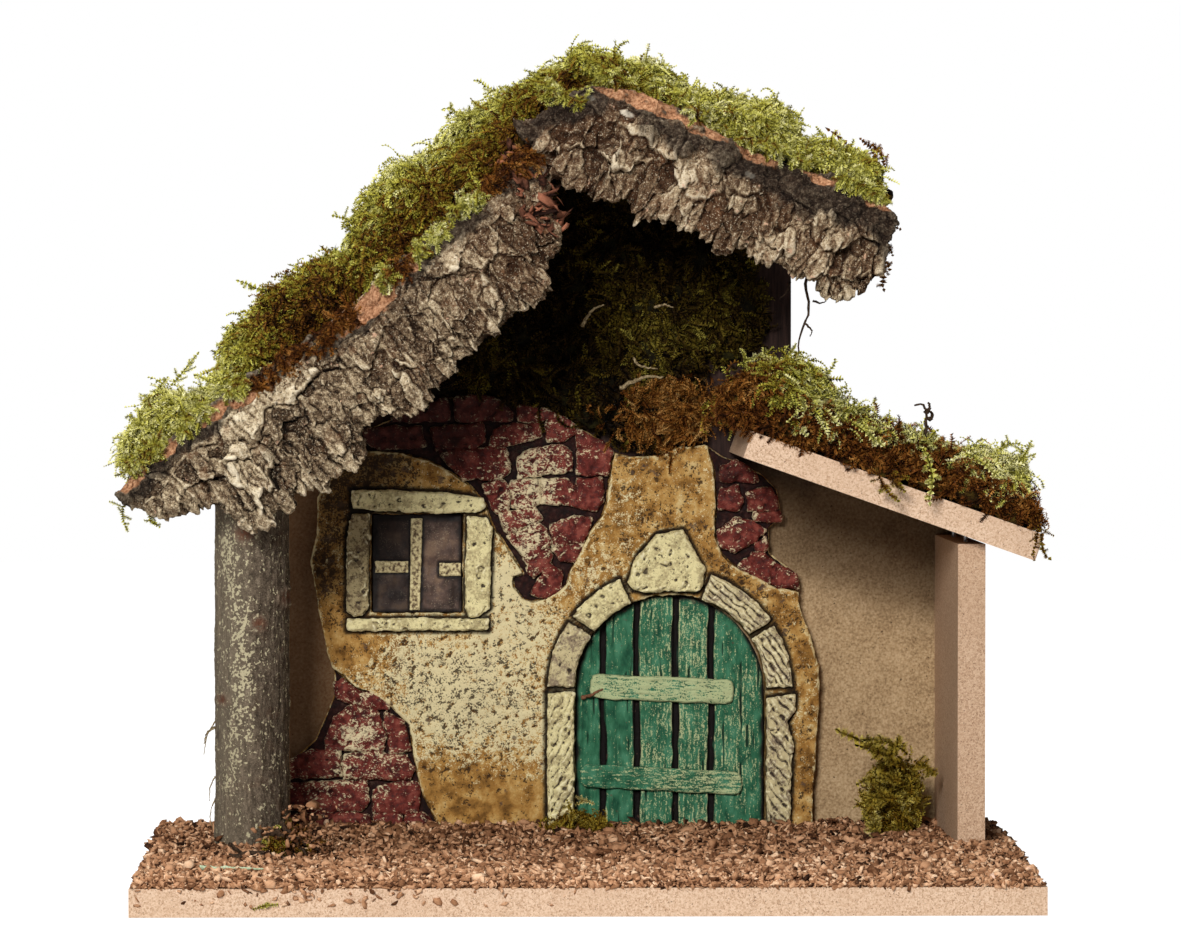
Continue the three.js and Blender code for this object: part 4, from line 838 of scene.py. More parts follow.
# Cork eaves: two thick strips of virgin cork bark glued on the front edges of the roof boards.
# Outside it is grey, lies in rough scales and is furrowed across the strip. The top edge was cut with
# a knife, which left it black, and orange where the knife went deep.
def cork_finish():
    finish = Finish("cork_bark", 0.95)
    relief, broad = finish.measure("relief"), finish.measure("broad")
    cut, char = finish.measure("cut"), finish.measure("char")
    # This share makes the bark darker and browner.
    age = finish.measure("age")
    crumb = finish.sum(
        (finish.grain(0.6, 4, 0.68), 0.55), (finish.grain(2.2, 4, 0.66, shift=1), 0.45))
    tone = finish.sum(
        (relief, 0.22), (broad, 0.34), (finish.measure("block"), 0.34),
        (crumb, 1.35), (finish.grain(13, 3, shift=8), 0.4), (age, -0.1), -0.82)
    body = finish.ramp(tone, [
        (0.16, "0e0805"), (0.32, "34261a"), (0.46, "695642"), (0.58, "9a876b"), (0.7, "cebb9a"),
        (0.86, "eee0c4")])
    warm = finish.step(finish.grain(7, 4, 0.6, shift=5), 0.56, 0.68)
    body = finish.over(body, "7c5236", finish.sum((warm, 0.3), (age, 0.3)))
    grit = finish.sum(finish.grain(0.7, 3, 0.6, shift=14), (relief, -0.1), 0.05)
    body = finish.cover(body, "1d150f", grit, 0.585, 0.64, 0.75)
    dots = finish.sum(finish.grain(0.65, 3, 0.6, shift=17), (relief, 0.1), -0.05)
    body = finish.cover(body, "e4d5b8", dots, 0.6, 0.66, 0.65)
    pits = finish.sum(finish.grain(1.9, 4, 0.66, shift=11), (relief, -0.18), 0.09)
    body = finish.cover(body, "17100c", pits, 0.62, 0.67, 0.7)
    flakes = finish.sum(finish.grain(3.4, 4, 0.6, shift=3), (broad, 0.15))
    body = finish.cover(body, "d3a98c", flakes, 0.75, 0.78, 0.75)
    body = finish.over(body, "ece0cb", finish.times(finish.measure("scar"), 0.9))
    soot = finish.ramp(finish.sum(crumb, (relief, 0.2), -0.1), [
        (0.38, "0c0908"), (0.52, "2c241e"), (0.62, "564a3e"), (0.76, "948571")])
    body = finish.over(body, soot, char)
    flesh = finish.ramp(finish.sum((finish.grain(1.1, 4, 0.68), 0.75), (relief, 0.3)), [
        (0.36, "4c3020"), (0.48, "9c6c4c"), (0.6, "c49470"), (0.74, "dfb894")])
    return finish.done(finish.over(body, flesh, cut), finish.sum(crumb, finish.grain(0.9, 3, 0.6)), 0.8)


class Slope:
    """A roof's own directions: along runs to the right on the board, across stands square to it."""

    def __init__(self, x, z, pitch):
        angle = math.radians(pitch)
        self.start = np.array([x, 0, z], float)
        self.along = np.array([math.cos(angle), 0, -math.sin(angle)])
        self.across = np.array([math.sin(angle), 0, math.cos(angle)])

    def read(self, points):
        offset = points - self.start
        return offset @ self.along, offset @ self.across


left_roof = Slope(10, 291, -39.5)
right_roof = Slope(10, 291, 23)
lean_roof = Slope(146, 126.9, 19.5)
cork_paint = cork_finish()


def patches_at(first, second, spots):
    """How much of each oval spot [first, second, half length, half width, strength] is felt."""
    total = np.zeros(len(first))
    for along, across, long_half, wide_half, strength in spots:
        away = ((first - along) / long_half) ** 2 + ((second - across) / wide_half) ** 2
        total = np.maximum(total, strength * np.exp(-away ** 1.5))
    return total


slab_size, rib_size, scale_size, tooth_size = (16, 90, 13), (4.6, 60, 12), (8, 60, 3.8), (7.5, 40, 40)


def cork_eave(name, node_name, roof, top_line, soot_depth, cuts, scars, age_line, seed):
    """A strip of bark in slabs, ribbed below and scaly above, cut on top and torn into teeth below."""
    strip = finer_copy(node_name, 0.5)
    shape, normals = points_of(strip), normals_of(strip)
    along, across = roof.read(shape)
    below = np.interp(along, *top_line) - across
    local = np.column_stack([along, shape[:, 1], across])
    warped = local.copy()
    warped[:, 0] += 2.4 * unevenness(local, 9, seed, 3)
    warped[:, 2] += 4.5 * unevenness(local, 13, seed + 1, 3)
    rugged = soft_step(below + 5 * unevenness(local, 11, seed + 13), 5, 18)
    slab_gap, slab_mark, slab_offset = plates(warped, slab_size, seed + 2)
    rib_gap, rib_mark, rib_offset = plates(warped, rib_size, seed + 4)
    scale_gap, scale_mark, _ = plates(warped, scale_size, seed + 3)
    ribbed = rugged > 0.45
    block_gap, block_mark = np.where(ribbed, rib_gap, scale_gap), np.where(ribbed, rib_mark, scale_mark)
    torn = soft_step(unevenness(local, 17, seed + 8, 2), -0.25, 0.2)
    slab = 3.8 * (slab_mark - 0.5) - 2.2 * slab_offset[:, 2]
    crack = soft_step(-slab_gap - 0.06 * unevenness(local, 3, seed + 12, 2), -0.12, 0) * torn
    block = 2.4 * (block_mark - 0.5) - 1.6 * ribbed * rib_offset[:, 0] ** 2
    block -= 0.8 * soft_step(-block_gap, -0.13, 0)
    block += 0.7 * ribbed * unevenness(warped, (1.2, 20, 9), seed + 15)
    deep = (
        (slab - 2.6 * crack + block) * (0.35 + 0.65 * rugged)
        + 0.9 * unevenness(local, 5.5, seed + 5, 2) + 0.85 * unevenness(local, 1.9, seed + 6, 2))
    knife = patches_at(along, across, cuts)
    ragged = 1.3 * unevenness(local, (5.5, 9, 2.6), seed + 9, 4)
    flat = soft_step(knife * (1 + ragged), 0.42, 0.58)
    deep = deep * (1 - 0.6 * flat) - 1.0 * flat
    outside = soft_step(-shape[:, 1], 20.5, 24)
    shape += normals * (deep * (0.25 + 0.75 * outside))[:, None]
    column = plates(warped * [1, 0.2, 0.1], tooth_size, seed + 7)[1]
    teeth = 4.6 * (column - 0.5) + 1.5 * unevenness(local, (2.6, 30, 200), seed + 11, 2)
    teeth *= soft_step(below, 15, 27)
    shape -= roof.across * teeth[:, None]
    # How much darker and browner the strip is, along it.
    aged = np.interp(along, *age_line) + 0.4 * unevenness(local, 16, seed + 14, 2)
    soot = soft_step(-below, -soot_depth, -0.3 * soot_depth) + 0.9 * unevenness(shape, 12, seed + 10, 4)
    scarred = patches_at(along, across, scars) * (1 + 0.7 * unevenness(local, 3, 6, 2))
    worked_piece(
        name, strip, shape, [(5, 0.55), (36, 2.4, "broad")], cork_paint, "cork_bark", node_name,
        block=0.5 * block_mark + 0.5 * slab_mark, age=np.clip(aged, 0, 1), cut=flat,
        char=np.clip(0.85 * soft_step(soot, 0.3, 0.8), 0, 1), scar=soft_step(scarred, 0.4, 0.6))


# The line of the cut top edge and the marks of the knife, as distances along and across each roof.
left_cork_top = ([-230, -215, -184, -168, -145, -123, -107, -84, -70, -50, -39],
                 [1, 5, 4, 3.5, 0.5, -1.5, 1.5, 1, 1, 4, -4])
right_cork_top = ([-28, -21, -12, -4, 9.5, 30, 50, 70, 88, 104, 113],
                  [-24, -21, -5.5, 0, 3.5, 2.5, -0.5, 0, 2, 2.5, -4])
left_cuts = [
    [-222, 3, 8, 5, 1], [-207, 3, 8, 4, 1], [-184, 1, 7, 3.5, 1], [-170, -1.5, 9, 4, 1],
    [-148, -2, 8, 2.5, 0.8], [-116, -3.5, 17, 6.5, 1], [-98, -1.5, 10, 4, 1], [-80, 0.5, 10, 2.5, 0.7],
    [-58, 3.5, 6, 2.5, 0.8], [-49, 4, 7, 3.5, 1],
]
right_cuts = [
    [0, 1.4, 10, 5, 1], [14, 0.8, 13, 4.6, 1], [36, 0.3, 14, 4, 1], [57, -1.2, 10, 3.2, 1],
    [80, 0.4, 9, 2.8, 0.9], [104, 0, 7, 2.5, 1],
]
left_scars = [[-34.7, -9.5, 2.5, 1.6, 1]]
right_scars = [[-5.8, -6.5, 1.8, 1.2, 1], [7.9, -6.6, 2.8, 1.3, 1], [57.4, -9.6, 2.4, 1, 1]]
cork_eave("left_cork_eave", "left_cork_fascia", left_roof, left_cork_top, 13,
          left_cuts, left_scars, ([-160, -100, -45], [0, 0.25, 0.7]), 201)
cork_eave("right_cork_eave", "right_cork_fascia", right_roof, right_cork_top, 21,
          right_cuts, right_scars, ([-25, 110], [0.75, 0.6]), 221)


# Moss beds: dried sheet moss glued on the roofs and in the gable. Under the fronds lies a dark mat of
# old stems in rounded cushions, which takes the place of each smooth pad.
def mat_finish(name, dark, middle, light):
    finish = Finish(name, 0.95)
    tone = finish.sum((finish.grain(1.1, 5, 0.7), 0.6), (finish.measure("relief"), 0.4))
    body = finish.ramp(tone, [(0.4, dark), (0.55, middle), (0.75, light)])
    return finish.done(body, finish.sum(finish.grain(0.7, 4), finish.grain(2.4, 3)), 0.8)


roof_mat = mat_finish("roof_moss_mat", "0e0803", "2e1e08", "554516")
# The gable's mat is a darker copy of the roof's, as painted shade under the roof; the loose clumps reuse it.
gable_mat = mat_finish("gable_moss_mat", "050402", "141006", "2e2a0c")
cushion_size = (15, 15, 12)


def cushions_at(points, seed):
    """The cushion of moss at each point: the way to its edge, its number and the way from its middle."""
    return plates(points + 2.5 * unevenness(points, 9, seed)[:, None], cushion_size, seed)


def moss_bed(name, node_name, grid, lump, swell, material, slot_name, seed):
    """The mat under the fronds. swell gives how far it rises or falls, from points and normals."""
    bed = finer_copy(node_name, grid)
    shape, normals = points_of(bed), normals_of(bed)
    cushion = 1.6 * soft_step(cushions_at(shape, seed)[0], 0, 0.5) - 1 + 0.6 * unevenness(shape, 9, seed, 3)
    shape += normals * (lump * cushion)[:, None]
    shape += swell(shape, normals)
    worked_piece(name, bed, shape, [(6, 1.2)], material, slot_name, node_name)
    return bed


def risen(roof, reach, rise, low, high):
    """How a mat swells square to its roof: rise at each reach along the slope, full above high."""
    def swell(shape, normals):
        along, across = roof.read(shape)
        return roof.across * (np.interp(along, reach, rise) * soft_step(across, low, high))[:, None]
    return swell


def no_swell(shape, normals):
    return np.zeros_like(shape)


def ridge_swell(shape, normals):
    sunk = -4 - 4 * soft_step(shape[:, 0], -4, 6)
    return (sunk * soft_step(shape[:, 2], 296, 308))[:, None] * [0, 0, 1]


left_swell = risen(
    left_roof, [-218, -205, -196, -188, -178, -165, -155, -147, -139, -131, -124, -118, -111, -98, -90, -78,
                -68, -58, -45, -25, -5],
    [-4, -3, -5, -15, -16, -4, -4, -3, -1, -3, -4, -5, -10, 1, 4, 4, 1, 0, 2, 0, 1], 6, 18)
right_swell = risen(right_roof, [5, 20, 34, 45, 58, 66, 72, 84, 96, 105, 112],
                    [-1, -7, -8, -4, -1, -6, -10, -6, -5, -7, -12], 5, 14)
lean_rise = risen(lean_roof, [-104, -92, -80, -66, -54, -44, -34, -20, -8, 10, 23],
                  [-7, 0, 0, -6, -9, -11, -10, -10, -6, -9, -12], 15, 27)


def lean_swell(shape, normals):
    """The moss on the lean-to was trimmed at its free end."""
    beyond = np.clip(shape[:, 0] - 161, 0, None)
    return lean_rise(shape, normals) - 0.9 * beyond[:, None] * [1, 0, 0]


left_bed = moss_bed("left_moss_mat", "left_roof_moss", 1.7, 2.6, left_swell, roof_mat, "green_moss", 301)
right_bed = moss_bed("right_moss_mat", "right_roof_moss", 1.7, 2.2, right_swell, roof_mat, "green_moss", 302)
ridge_bed = moss_bed("ridge_moss_mat", "ridge_moss", 1.5, 1.6, ridge_swell, roof_mat, "green_moss", 303)
lean_bed = moss_bed("lean_to_moss_mat", "lean_to_moss", 1.5, 2.6, lean_swell, roof_mat, "green_moss", 304)
gable_bed = moss_bed("gable_moss_mat", "gable_moss", 1.5, 2.0, no_swell, gable_mat, "dark_moss", 305)


# Moss fronds: each is a bent stem with fine leaves all round, green at the tip and rust brown where it
# is old. They grow out of the mats a few thousand at a time and lie over each other.
def unit(vectors):
    return vectors / np.maximum(np.linalg.norm(vectors, axis=-1, keepdims=True), 1e-9)


def spots_on(mesh, count, dice, accept):
    """Random spots on a mat, as points and normals, where accept says how likely a spot is kept."""
    mesh.calc_loop_triangles()
    corners = np.zeros(len(mesh.loop_triangles) * 3, np.int32)
    mesh.loop_triangles.foreach_get("vertices", corners)
    points = points_of(mesh)
    a, b, c = (points[corners.reshape(-1, 3)[:, i]] for i in range(3))
    facing = np.cross(b - a, c - a)
    area = np.linalg.norm(facing, axis=1)
    middle = (a + b + c) / 3
    chance = area * np.clip(accept(middle, facing / area[:, None]), 0, None)
    picked = dice.choice(len(area), count, p=chance / chance.sum())
    u, v = dice.random(count), dice.random(count)
    flip = u + v > 1
    u, v = np.where(flip, 1 - u, u), np.where(flip, 1 - v, v)
    spots = a[picked] + u[:, None] * (b - a)[picked] + v[:, None] * (c - a)[picked]
    return spots, facing[picked] / area[picked][:, None]


def leafed(name, spines, uppers, widths, tones, dice, material, slot_name):
    """A piece of stems, each a row of points, dressed with three rows of leaves."""
    count, stops = spines.shape[:2]
    joints = stops - 1
    share = np.linspace(0, 1, stops)
    heading = unit(np.diff(spines, axis=1))
    side = unit(np.cross(heading, uppers[:, None]))
    upper = np.cross(side, heading)
    breadth = widths[:, None] * np.sin(np.pi * (0.17 + 0.74 * share[:-1])) ** 0.6
    rows = [spines]
    for turn, spread in ((0, 0.3), (math.pi, 0.3), (math.pi / 2, 0.6)):
        roll = turn + dice.normal(0, spread, (count, joints))[..., None]
        out = side * np.cos(roll) + upper * np.sin(roll) + 0.75 * heading
        rows.append(spines[:, :-1] + out * (breadth * dice.normal(1, 0.22, (count, joints)))[..., None])
    points = np.concatenate(rows, axis=1)
    near = np.arange(joints)
    pattern = np.concatenate([
        np.column_stack([near, near + stops + row * joints, near + 1]) for row in range(3)])
    faces = (pattern[None] + points.shape[1] * np.arange(count)[:, None, None]).reshape(-1, 3)
    leaf_tone = np.tile(0.3 * share[:-1] + 0.03, 3)
    fresh = tones[:, None] + np.concatenate([0.3 * share - 0.22, leaf_tone])
    made = mesh_of(points.reshape(-1, 3), faces)
    note(made, "fresh", np.clip(fresh.ravel(), 0, 1))
    piece(name, made, material, slot_name, smooth=False)


def bent_stems(roots, aims, lifts, lengths, droop, hook, swing):
    """Stems that set out along aims, bend down from lifts, swing sideways and curl at the tip."""
    share = np.linspace(0, 1, swing.shape[1])
    side = unit(np.cross(aims, lifts))
    lifts = unit(np.cross(side, aims))
    bend = droop[:, None] * share + hook[:, None] * share ** 3
    heading = unit(
        aims[:, None] * (np.cos(bend) * np.cos(swing))[..., None]
        - lifts[:, None] * np.sin(bend)[..., None] + side[:, None] * np.sin(swing)[..., None])
    steps = np.cumsum(heading * (lengths / len(share))[:, None, None], axis=1)
    return roots[:, None] + np.concatenate([np.zeros((len(roots), 1, 3)), steps], axis=1), lifts


def mesh_of(points, faces):
    """A mesh from points in millimetres and triangles."""
    mesh = bpy.data.meshes.new("fronds")
    mesh.vertices.add(len(points))
    mesh.vertices.foreach_set("co", (points * MM).astype(np.float32).ravel())
    mesh.loops.add(len(faces) * 3)
    mesh.loops.foreach_set("vertex_index", faces.astype(np.int32).ravel())
    mesh.polygons.add(len(faces))
    mesh.polygons.foreach_set("loop_start", np.arange(0, len(faces) * 3, 3, dtype=np.int32))
    mesh.update(calc_edges=True)
    return mesh


def frond_finish(name, stops):
    finish = Finish(name, 0.75, Specular_IOR_Level=0.1)
    tone = finish.sum(finish.measure("fresh"), (finish.grain(1.2, 2), 0.3), -0.15)
    return finish.done(finish.ramp(tone, stops))


green_fronds = frond_finish("green_fronds", [
    (0.0, "1c0e03"), (0.14, "4f2c0c"), (0.28, "7c541a"), (0.42, "8a7a24"), (0.56, "a5a03c"),
    (0.72, "c4c05e"), (0.88, "dcd88c"), (1.0, "efeab8")])
rust_fronds = frond_finish("rust_fronds", [
    (0.0, "180a02"), (0.2, "3a1c08"), (0.4, "5e3311"), (0.6, "86531e"), (0.8, "aa773a"), (1.0, "c8a062")])
# The gable's fronds are a darker copy of the green ones, as painted shade under the roof.
shaded_fronds = frond_finish("shaded_fronds", [
    (0.0, "070402"), (0.25, "241605"), (0.5, "43330c"), (0.75, "6a5c1c"), (1.0, "9c9242")])
frond_joints = 11


def fronds_on(name, mesh, count, seed, cushions, accept, tone_of, material, slot_name,
              stands=1.0, drift=(0, 0, 0), size=(6.4, 1.1), lift=3.0):
    """A piece of many fronds. They fan out from the middle of each cushion of a mat, along the drift."""
    dice = np.random.default_rng(seed)
    spots, faces_out = spots_on(mesh, count, dice, accept)
    fan = unit(cushions_at(spots, cushions)[2])
    loose = 0.9 * fan + 0.45 * dice.normal(0, 1, (count, 3)) + np.asarray(drift, float)
    flat = unit(loose - (loose * faces_out).sum(1)[:, None] * faces_out)
    rise = np.clip(dice.normal(0.46 * stands, 0.34, count), 0.02, 1.3)[:, None]
    aims = unit(flat * np.cos(rise) + faces_out * np.sin(rise))
    lifts = unit(faces_out * np.cos(rise) - flat * np.sin(rise))
    lengths = size[0] * np.clip(dice.lognormal(0, 0.3, count), 0.5, 2.0)
    widths = size[1] * np.clip(dice.normal(1, 0.2, count), 0.6, 1.6)
    lift_off = dice.random(count) ** 1.5 * lift - 1.0
    roots = spots + faces_out * lift_off[:, None]
    tones = tone_of(roots) + 0.12 * dice.normal(0, 1, count) + 0.04 * (lift_off - 0.5)
    swing = dice.normal(0, 0.4, count)[:, None] * np.linspace(0, 1, frond_joints)
    swing = swing + np.cumsum(dice.normal(0, 0.2, (count, frond_joints)), axis=1)
    droop, hook = dice.normal(0.7, 0.5, count), dice.normal(1.2, 0.9, count)
    spines, uppers = bent_stems(roots, aims, lifts, lengths, droop, hook, swing)
    leafed(name, spines, uppers, widths, tones, dice, material, slot_name)


def cushion_tone(points, seed):
    """A tone for each cushion of moss, with soft patches over it and painted shade at its edges."""
    gap, mark = cushions_at(points, seed)[:2]
    # The last term is painted shade where the cushions meet.
    return 0.22 * (mark - 0.5) + 0.16 * unevenness(points, 20, seed, 2) - 0.12 * soft_step(-gap, -0.3, 0)


def left_tone(points):
    along, across = left_roof.read(points)
    tone = np.interp(along, [-218, -172, -158, -140, -122, -112, -92, -80, -60, -30, 0],
                     [0.72, 0.74, 0.54, 0.34, 0.38, 0.6, 0.48, 0.72, 0.68, 0.62, 0.7])
    low_front = soft_step(-points[:, 1], -4, 14) * soft_step(-across, -22, -8) * soft_step(along, -168, -150)
    gilded = soft_step(-points[:, 1], -4, 14) * soft_step(-across, -28, -15) * soft_step(along, -92, -66)
    return tone - 0.3 * low_front - 0.2 * gilded * soft_step(-along, -4, 10) + cushion_tone(points, 301)


def right_tone(points):
    across = right_roof.read(points)[1]
    low_front = soft_step(-points[:, 1], -4, 14) * soft_step(-across, -14, -5)
    return 0.72 - 0.12 * low_front + cushion_tone(points, 302)


def lean_tone(points):
    along = lean_roof.read(points)[0]
    tone = np.interp(along, [-104, -90, -78, -66, -20, 10, 20], [0.3, 0.34, 0.66, 0.76, 0.76, 0.7, 0.5])
    return tone + 0.7 * cushion_tone(points, 304)


def rust_tone(points):
    return 0.36 + 0.24 * unevenness(points, 11, 308, 2)


def rust_share(points):
    """1 low on the lean-to's moss, where it has gone brown, and 0 above."""
    along, across = lean_roof.read(points)
    brown_line = 23 + 6 * unevenness(points, 14, 307, 2) + 10 * soft_step(-along, 84, 98)
    return soft_step(brown_line - across, -3, 3) * soft_step(-points[:, 1], -40, -10)


def gable_tone(points):
    lit = np.exp(-((points[:, 0] - 30) / 38) ** 2 - ((points[:, 2] - 202) / 24) ** 2)
    return 0.28 + 0.3 * lit + 1.5 * cushion_tone(points, 305)


def outward(roof, floor, nearest=-90, farthest=90, end=200):
    """Fronds grow on the top and open edges of a mat, not where it is glued, in a band of its depth."""
    def accept(points, normals):
        across, depth = roof.read(points)[1], points[:, 1]
        up = normals @ roof.across
        grown = (up > -0.2) * (across > floor + 1.5) * (0.55 + 0.45 * np.clip(up, 0, 1)) * (depth < 89)
        return grown * (depth >= nearest) * (depth < farthest) * (points[:, 0] < end)
    return accept


down_left, down_right = -0.9 * left_roof.along, 0.7 * right_roof.along
for name, count, seed, nearest, farthest in (
        ("left_moss_fronds_front", 6000, 321, -90, -14), ("left_moss_fronds_second", 6000, 345, -14, 6),
        ("left_moss_fronds_middle", 5400, 322, 6, 40), ("left_moss_fronds_back", 5000, 328, 40, 90)):
    fronds_on(name, left_bed, count, seed, 301, outward(left_roof, 0, nearest, farthest),
              left_tone, green_fronds, "green_moss", drift=down_left + [0, -0.5, 0])
for name, count, seed, nearest, farthest in (
        ("right_moss_fronds_front", 5800, 323, -90, -5), ("right_moss_fronds_middle", 5000, 346, -5, 30),
        ("right_moss_fronds_back", 4600, 329, 30, 90)):
    fronds_on(name, right_bed, count, seed, 302, outward(right_roof, 0, nearest, farthest, 104),
              right_tone, green_fronds, "green_moss", drift=down_right + [0, -0.3, 0], size=(6.0, 1.1))
fronds_on("ridge_moss_fronds", ridge_bed, 2400, 324, 303,
          lambda p, n: (p[:, 2] > 298) * (n[:, 2] > 0.1) + (n[:, 1] < -0.6) * 0.8, right_tone, green_fronds,
          "green_moss", size=(6.0, 1.1))
for name, count, seed, nearest, farthest in (
        ("lean_to_moss_fronds_front", 5000, 325, -90, 12), ("lean_to_moss_fronds_back", 3600, 330, 12, 90)):
    open_moss = outward(lean_roof, 10, nearest, farthest, 162)
    fronds_on(name, lean_bed, count, seed, 304, lambda p, n: open_moss(p, n) * (1 - rust_share(p)),
              lean_tone, green_fronds, "green_moss", drift=(0.1, -0.4, -0.2), size=(7.0, 1.15))
fronds_on("lean_to_rust_fronds", lean_bed, 5600, 333, 304,
          lambda p, n: outward(lean_roof, 9, end=165)(p, n) * (0.04 + rust_share(p)),
          rust_tone, rust_fronds, "green_moss", drift=(0.1, -0.8, 0.1), size=(5.5, 1.2), lift=5.0)
fronds_on("gable_moss_fronds", gable_bed, 6000, 326, 305, lambda p, n: (n[:, 1] < 0.3) * 1.0, gable_tone,
          shaded_fronds, "dark_moss", lift=4.0, size=(8, 1.2))
fronds_on("rust_moss_fronds", gable_bed, 2200, 327, 305,
          lambda p, n: (n[:, 1] < 0) * np.exp(-((p[:, 0] - 41) / 13) ** 2 - ((p[:, 2] - 172) / 6.5) ** 2),
          rust_tone, rust_fronds, "dark_moss", lift=10.0, size=(6.0, 0.9))


def fringe(name, roof, spans, count, seed, tone, material):
    """Short fronds that hang over the cut edge of the cork, as spans [from, to, across, hang]."""
    dice = np.random.default_rng(seed)
    spans = np.array(spans, float)
    share = (spans[:, 1] - spans[:, 0]) / (spans[:, 1] - spans[:, 0]).sum()
    span = spans[dice.choice(len(spans), count, p=share)]
    along = span[:, 0] + (span[:, 1] - span[:, 0]) * dice.random(count)
    bay = np.column_stack([along, np.zeros(count), np.zeros(count)])
    across = span[:, 2] + 1.5 - (span[:, 3] + 1.5 * unevenness(bay, 6, seed, 2)) * dice.random(count)
    depth = -23 - 9 * dice.random(count)
    roots = roof.start + along[:, None] * roof.along + across[:, None] * roof.across
    roots[:, 1] += depth
    aims = unit(-0.5 * roof.across + [0, -0.6, 0] + 0.55 * dice.normal(0, 1, (count, 3)))
    lifts = unit(np.cross(np.cross(aims, [0.0, -1.0, 0.3]), aims))
    lengths = 4.6 * np.clip(dice.lognormal(0, 0.3, count), 0.5, 1.8)
    swing = np.cumsum(dice.normal(0, 0.25, (count, frond_joints)), axis=1)
    spines, uppers = bent_stems(
        roots, aims, lifts, lengths, dice.normal(0.4, 0.5, count), dice.normal(0.8, 0.8, count), swing)
    tones = tone + 0.16 * dice.normal(0, 1, count) + 0.15 * unevenness(roots, 9, seed + 1, 2)
    leafed(name, spines, uppers, np.full(count, 1.15), tones, dice, material, "green_moss")


fringe("left_green_fringe", left_roof, [
    [-220, -206, 5, 2], [-198, -186, 5, 4], [-176, -168, 3, 3], [-110, -104, 0, 4], [-92, -78, 0, 4],
    [-72, -60, 2, 5]], 900, 335, 0.6, green_fronds)
fringe("left_brown_fringe", left_roof, [
    [-168, -146, 1, 7], [-146, -122, -1, 7], [-104, -96, -1, 3], [-60, -36, 3, 6]],
    900, 336, 0.4, rust_fronds)
fringe("right_green_fringe", right_roof, [
    [-24, -8, -8, 4], [-6, -1, 4, 2], [26, 33, 3.5, 2], [48, 66, 3, 2], [70, 76, 3, 2], [88, 106, 2.5, 2]],
    480, 337, 0.55, green_fronds)


# Cork litter: crushed cork strewn on wet glue, pink to dark brown, banked up against the feet of the
# facade, the post and the wall. A few grains run over the front edge of the base.
def litter_finish():
    finish = Finish("cork_crumbs", 0.93)
    tone = finish.sum(finish.measure("tone"), (finish.grain(0.8, 3), 0.3), -0.15)
    body = finish.ramp(tone, [
        (0.0, "24130a"), (0.22, "5c3a24"), (0.48, "9c7050"), (0.75, "c99c78"), (1.0, "e8c6a4")])
    return finish.done(body, finish.grain(0.35, 3), 0.15)


def bed_finish():
    finish = Finish("litter_bed", 0.95)
    body = finish.ramp(finish.grain(1.4, 4, 0.6), [(0.35, "4a2c1a"), (0.5, "8a5f45"), (0.7, "b98a6a")])
    return finish.done(body, finish.grain(1.2, 4), 0.8)


base_reach, base_front, base_back = 159, -89.4, 89
litter_top = 12.5
litter_bed = finer_copy("cork_litter", 1.5)
shape = points_of(litter_bed)
shape[:, 2] += (0.5 * unevenness(shape, 3.5, 401, 2) - 0.7) * soft_step(shape[:, 2], 11, 12)
worked_piece("litter_bed", litter_bed, shape, [], bed_finish(), "cork_crumb", "cork_litter")

golden = (1 + 5 ** 0.5) / 2
grain_corners = unit(np.array([
    (-1, golden, 0), (1, golden, 0), (-1, -golden, 0), (1, -golden, 0), (0, -1, golden), (0, 1, golden),
    (0, -1, -golden), (0, 1, -golden), (golden, 0, -1), (golden, 0, 1), (-golden, 0, -1), (-golden, 0, 1)]))
grain_faces = np.array([
    (0, 11, 5), (0, 5, 1), (0, 1, 7), (0, 7, 10), (0, 10, 11), (1, 5, 9), (5, 11, 4), (11, 10, 2),
    (10, 7, 6), (7, 1, 8), (3, 9, 4), (3, 4, 2), (3, 2, 6), (3, 6, 8), (3, 8, 9), (4, 9, 5), (2, 4, 11),
    (6, 2, 10), (8, 6, 7), (9, 8, 1)])


def crumbs(name, spots, sizes, tones, dice, material, slot_name, longer=(1.5, 0.95, 0.5)):
    """Broken grains: each a crushed ball with its own bumps, stretch and turn."""
    count = len(spots)
    turns = np.linalg.qr(dice.normal(0, 1, (count, 3, 3)))[0]
    stretch = np.clip(dice.normal(longer, 0.25, (count, 3)), 0.25, 3)
    corners = grain_corners[None] * np.clip(dice.normal(1, 0.38, (count, 12, 1)), 0.3, 1.9)
    corners = corners * stretch[:, None] * sizes[:, None, None] / 2
    corners = np.einsum("nij,nkj->nki", turns, corners)
    corners[..., 2] *= 0.8
    points = (spots[:, None] + corners).reshape(-1, 3)
    faces = (grain_faces[None] + 12 * np.arange(count)[:, None, None]).reshape(-1, 3)
    made = mesh_of(points, faces)
    note(made, "tone", np.clip(np.repeat(tones, 12) + dice.normal(0, 0.05, count * 12), 0, 1))
    piece(name, made, material, slot_name, smooth=False)


crumb_paint = litter_finish()


def strewn(name, count, seed, front, back):
    dice = np.random.default_rng(seed)

    def open_floor(points, normals):
        return (normals[:, 2] > 0.3) * (points[:, 1] > front) * (points[:, 1] <= back)

    spots, _ = spots_on(litter_bed, count, dice, open_floor)
    sizes = np.clip(dice.lognormal(0.45, 0.34, count), 0.7, 3.4)
    spots[:, 2] += 0.25 * sizes + 1.2 * dice.random(count) ** 2
    spots[:, 0] = np.clip(spots[:, 0], -base_reach, base_reach)
    spots[:, 1] = np.clip(spots[:, 1], base_front, base_back)
    tones = 0.46 + 0.22 * dice.normal(0, 1, count) + 0.12 * soft_step(-spots[:, 1], -20, 60)
    crumbs(name, spots, sizes, tones, dice, crumb_paint, "cork_crumb")


strewn("litter_front", 9600, 411, -90, -50)
strewn("litter_middle", 9600, 414, -50, -5)
strewn("litter_back", 9600, 412, -5, 90)


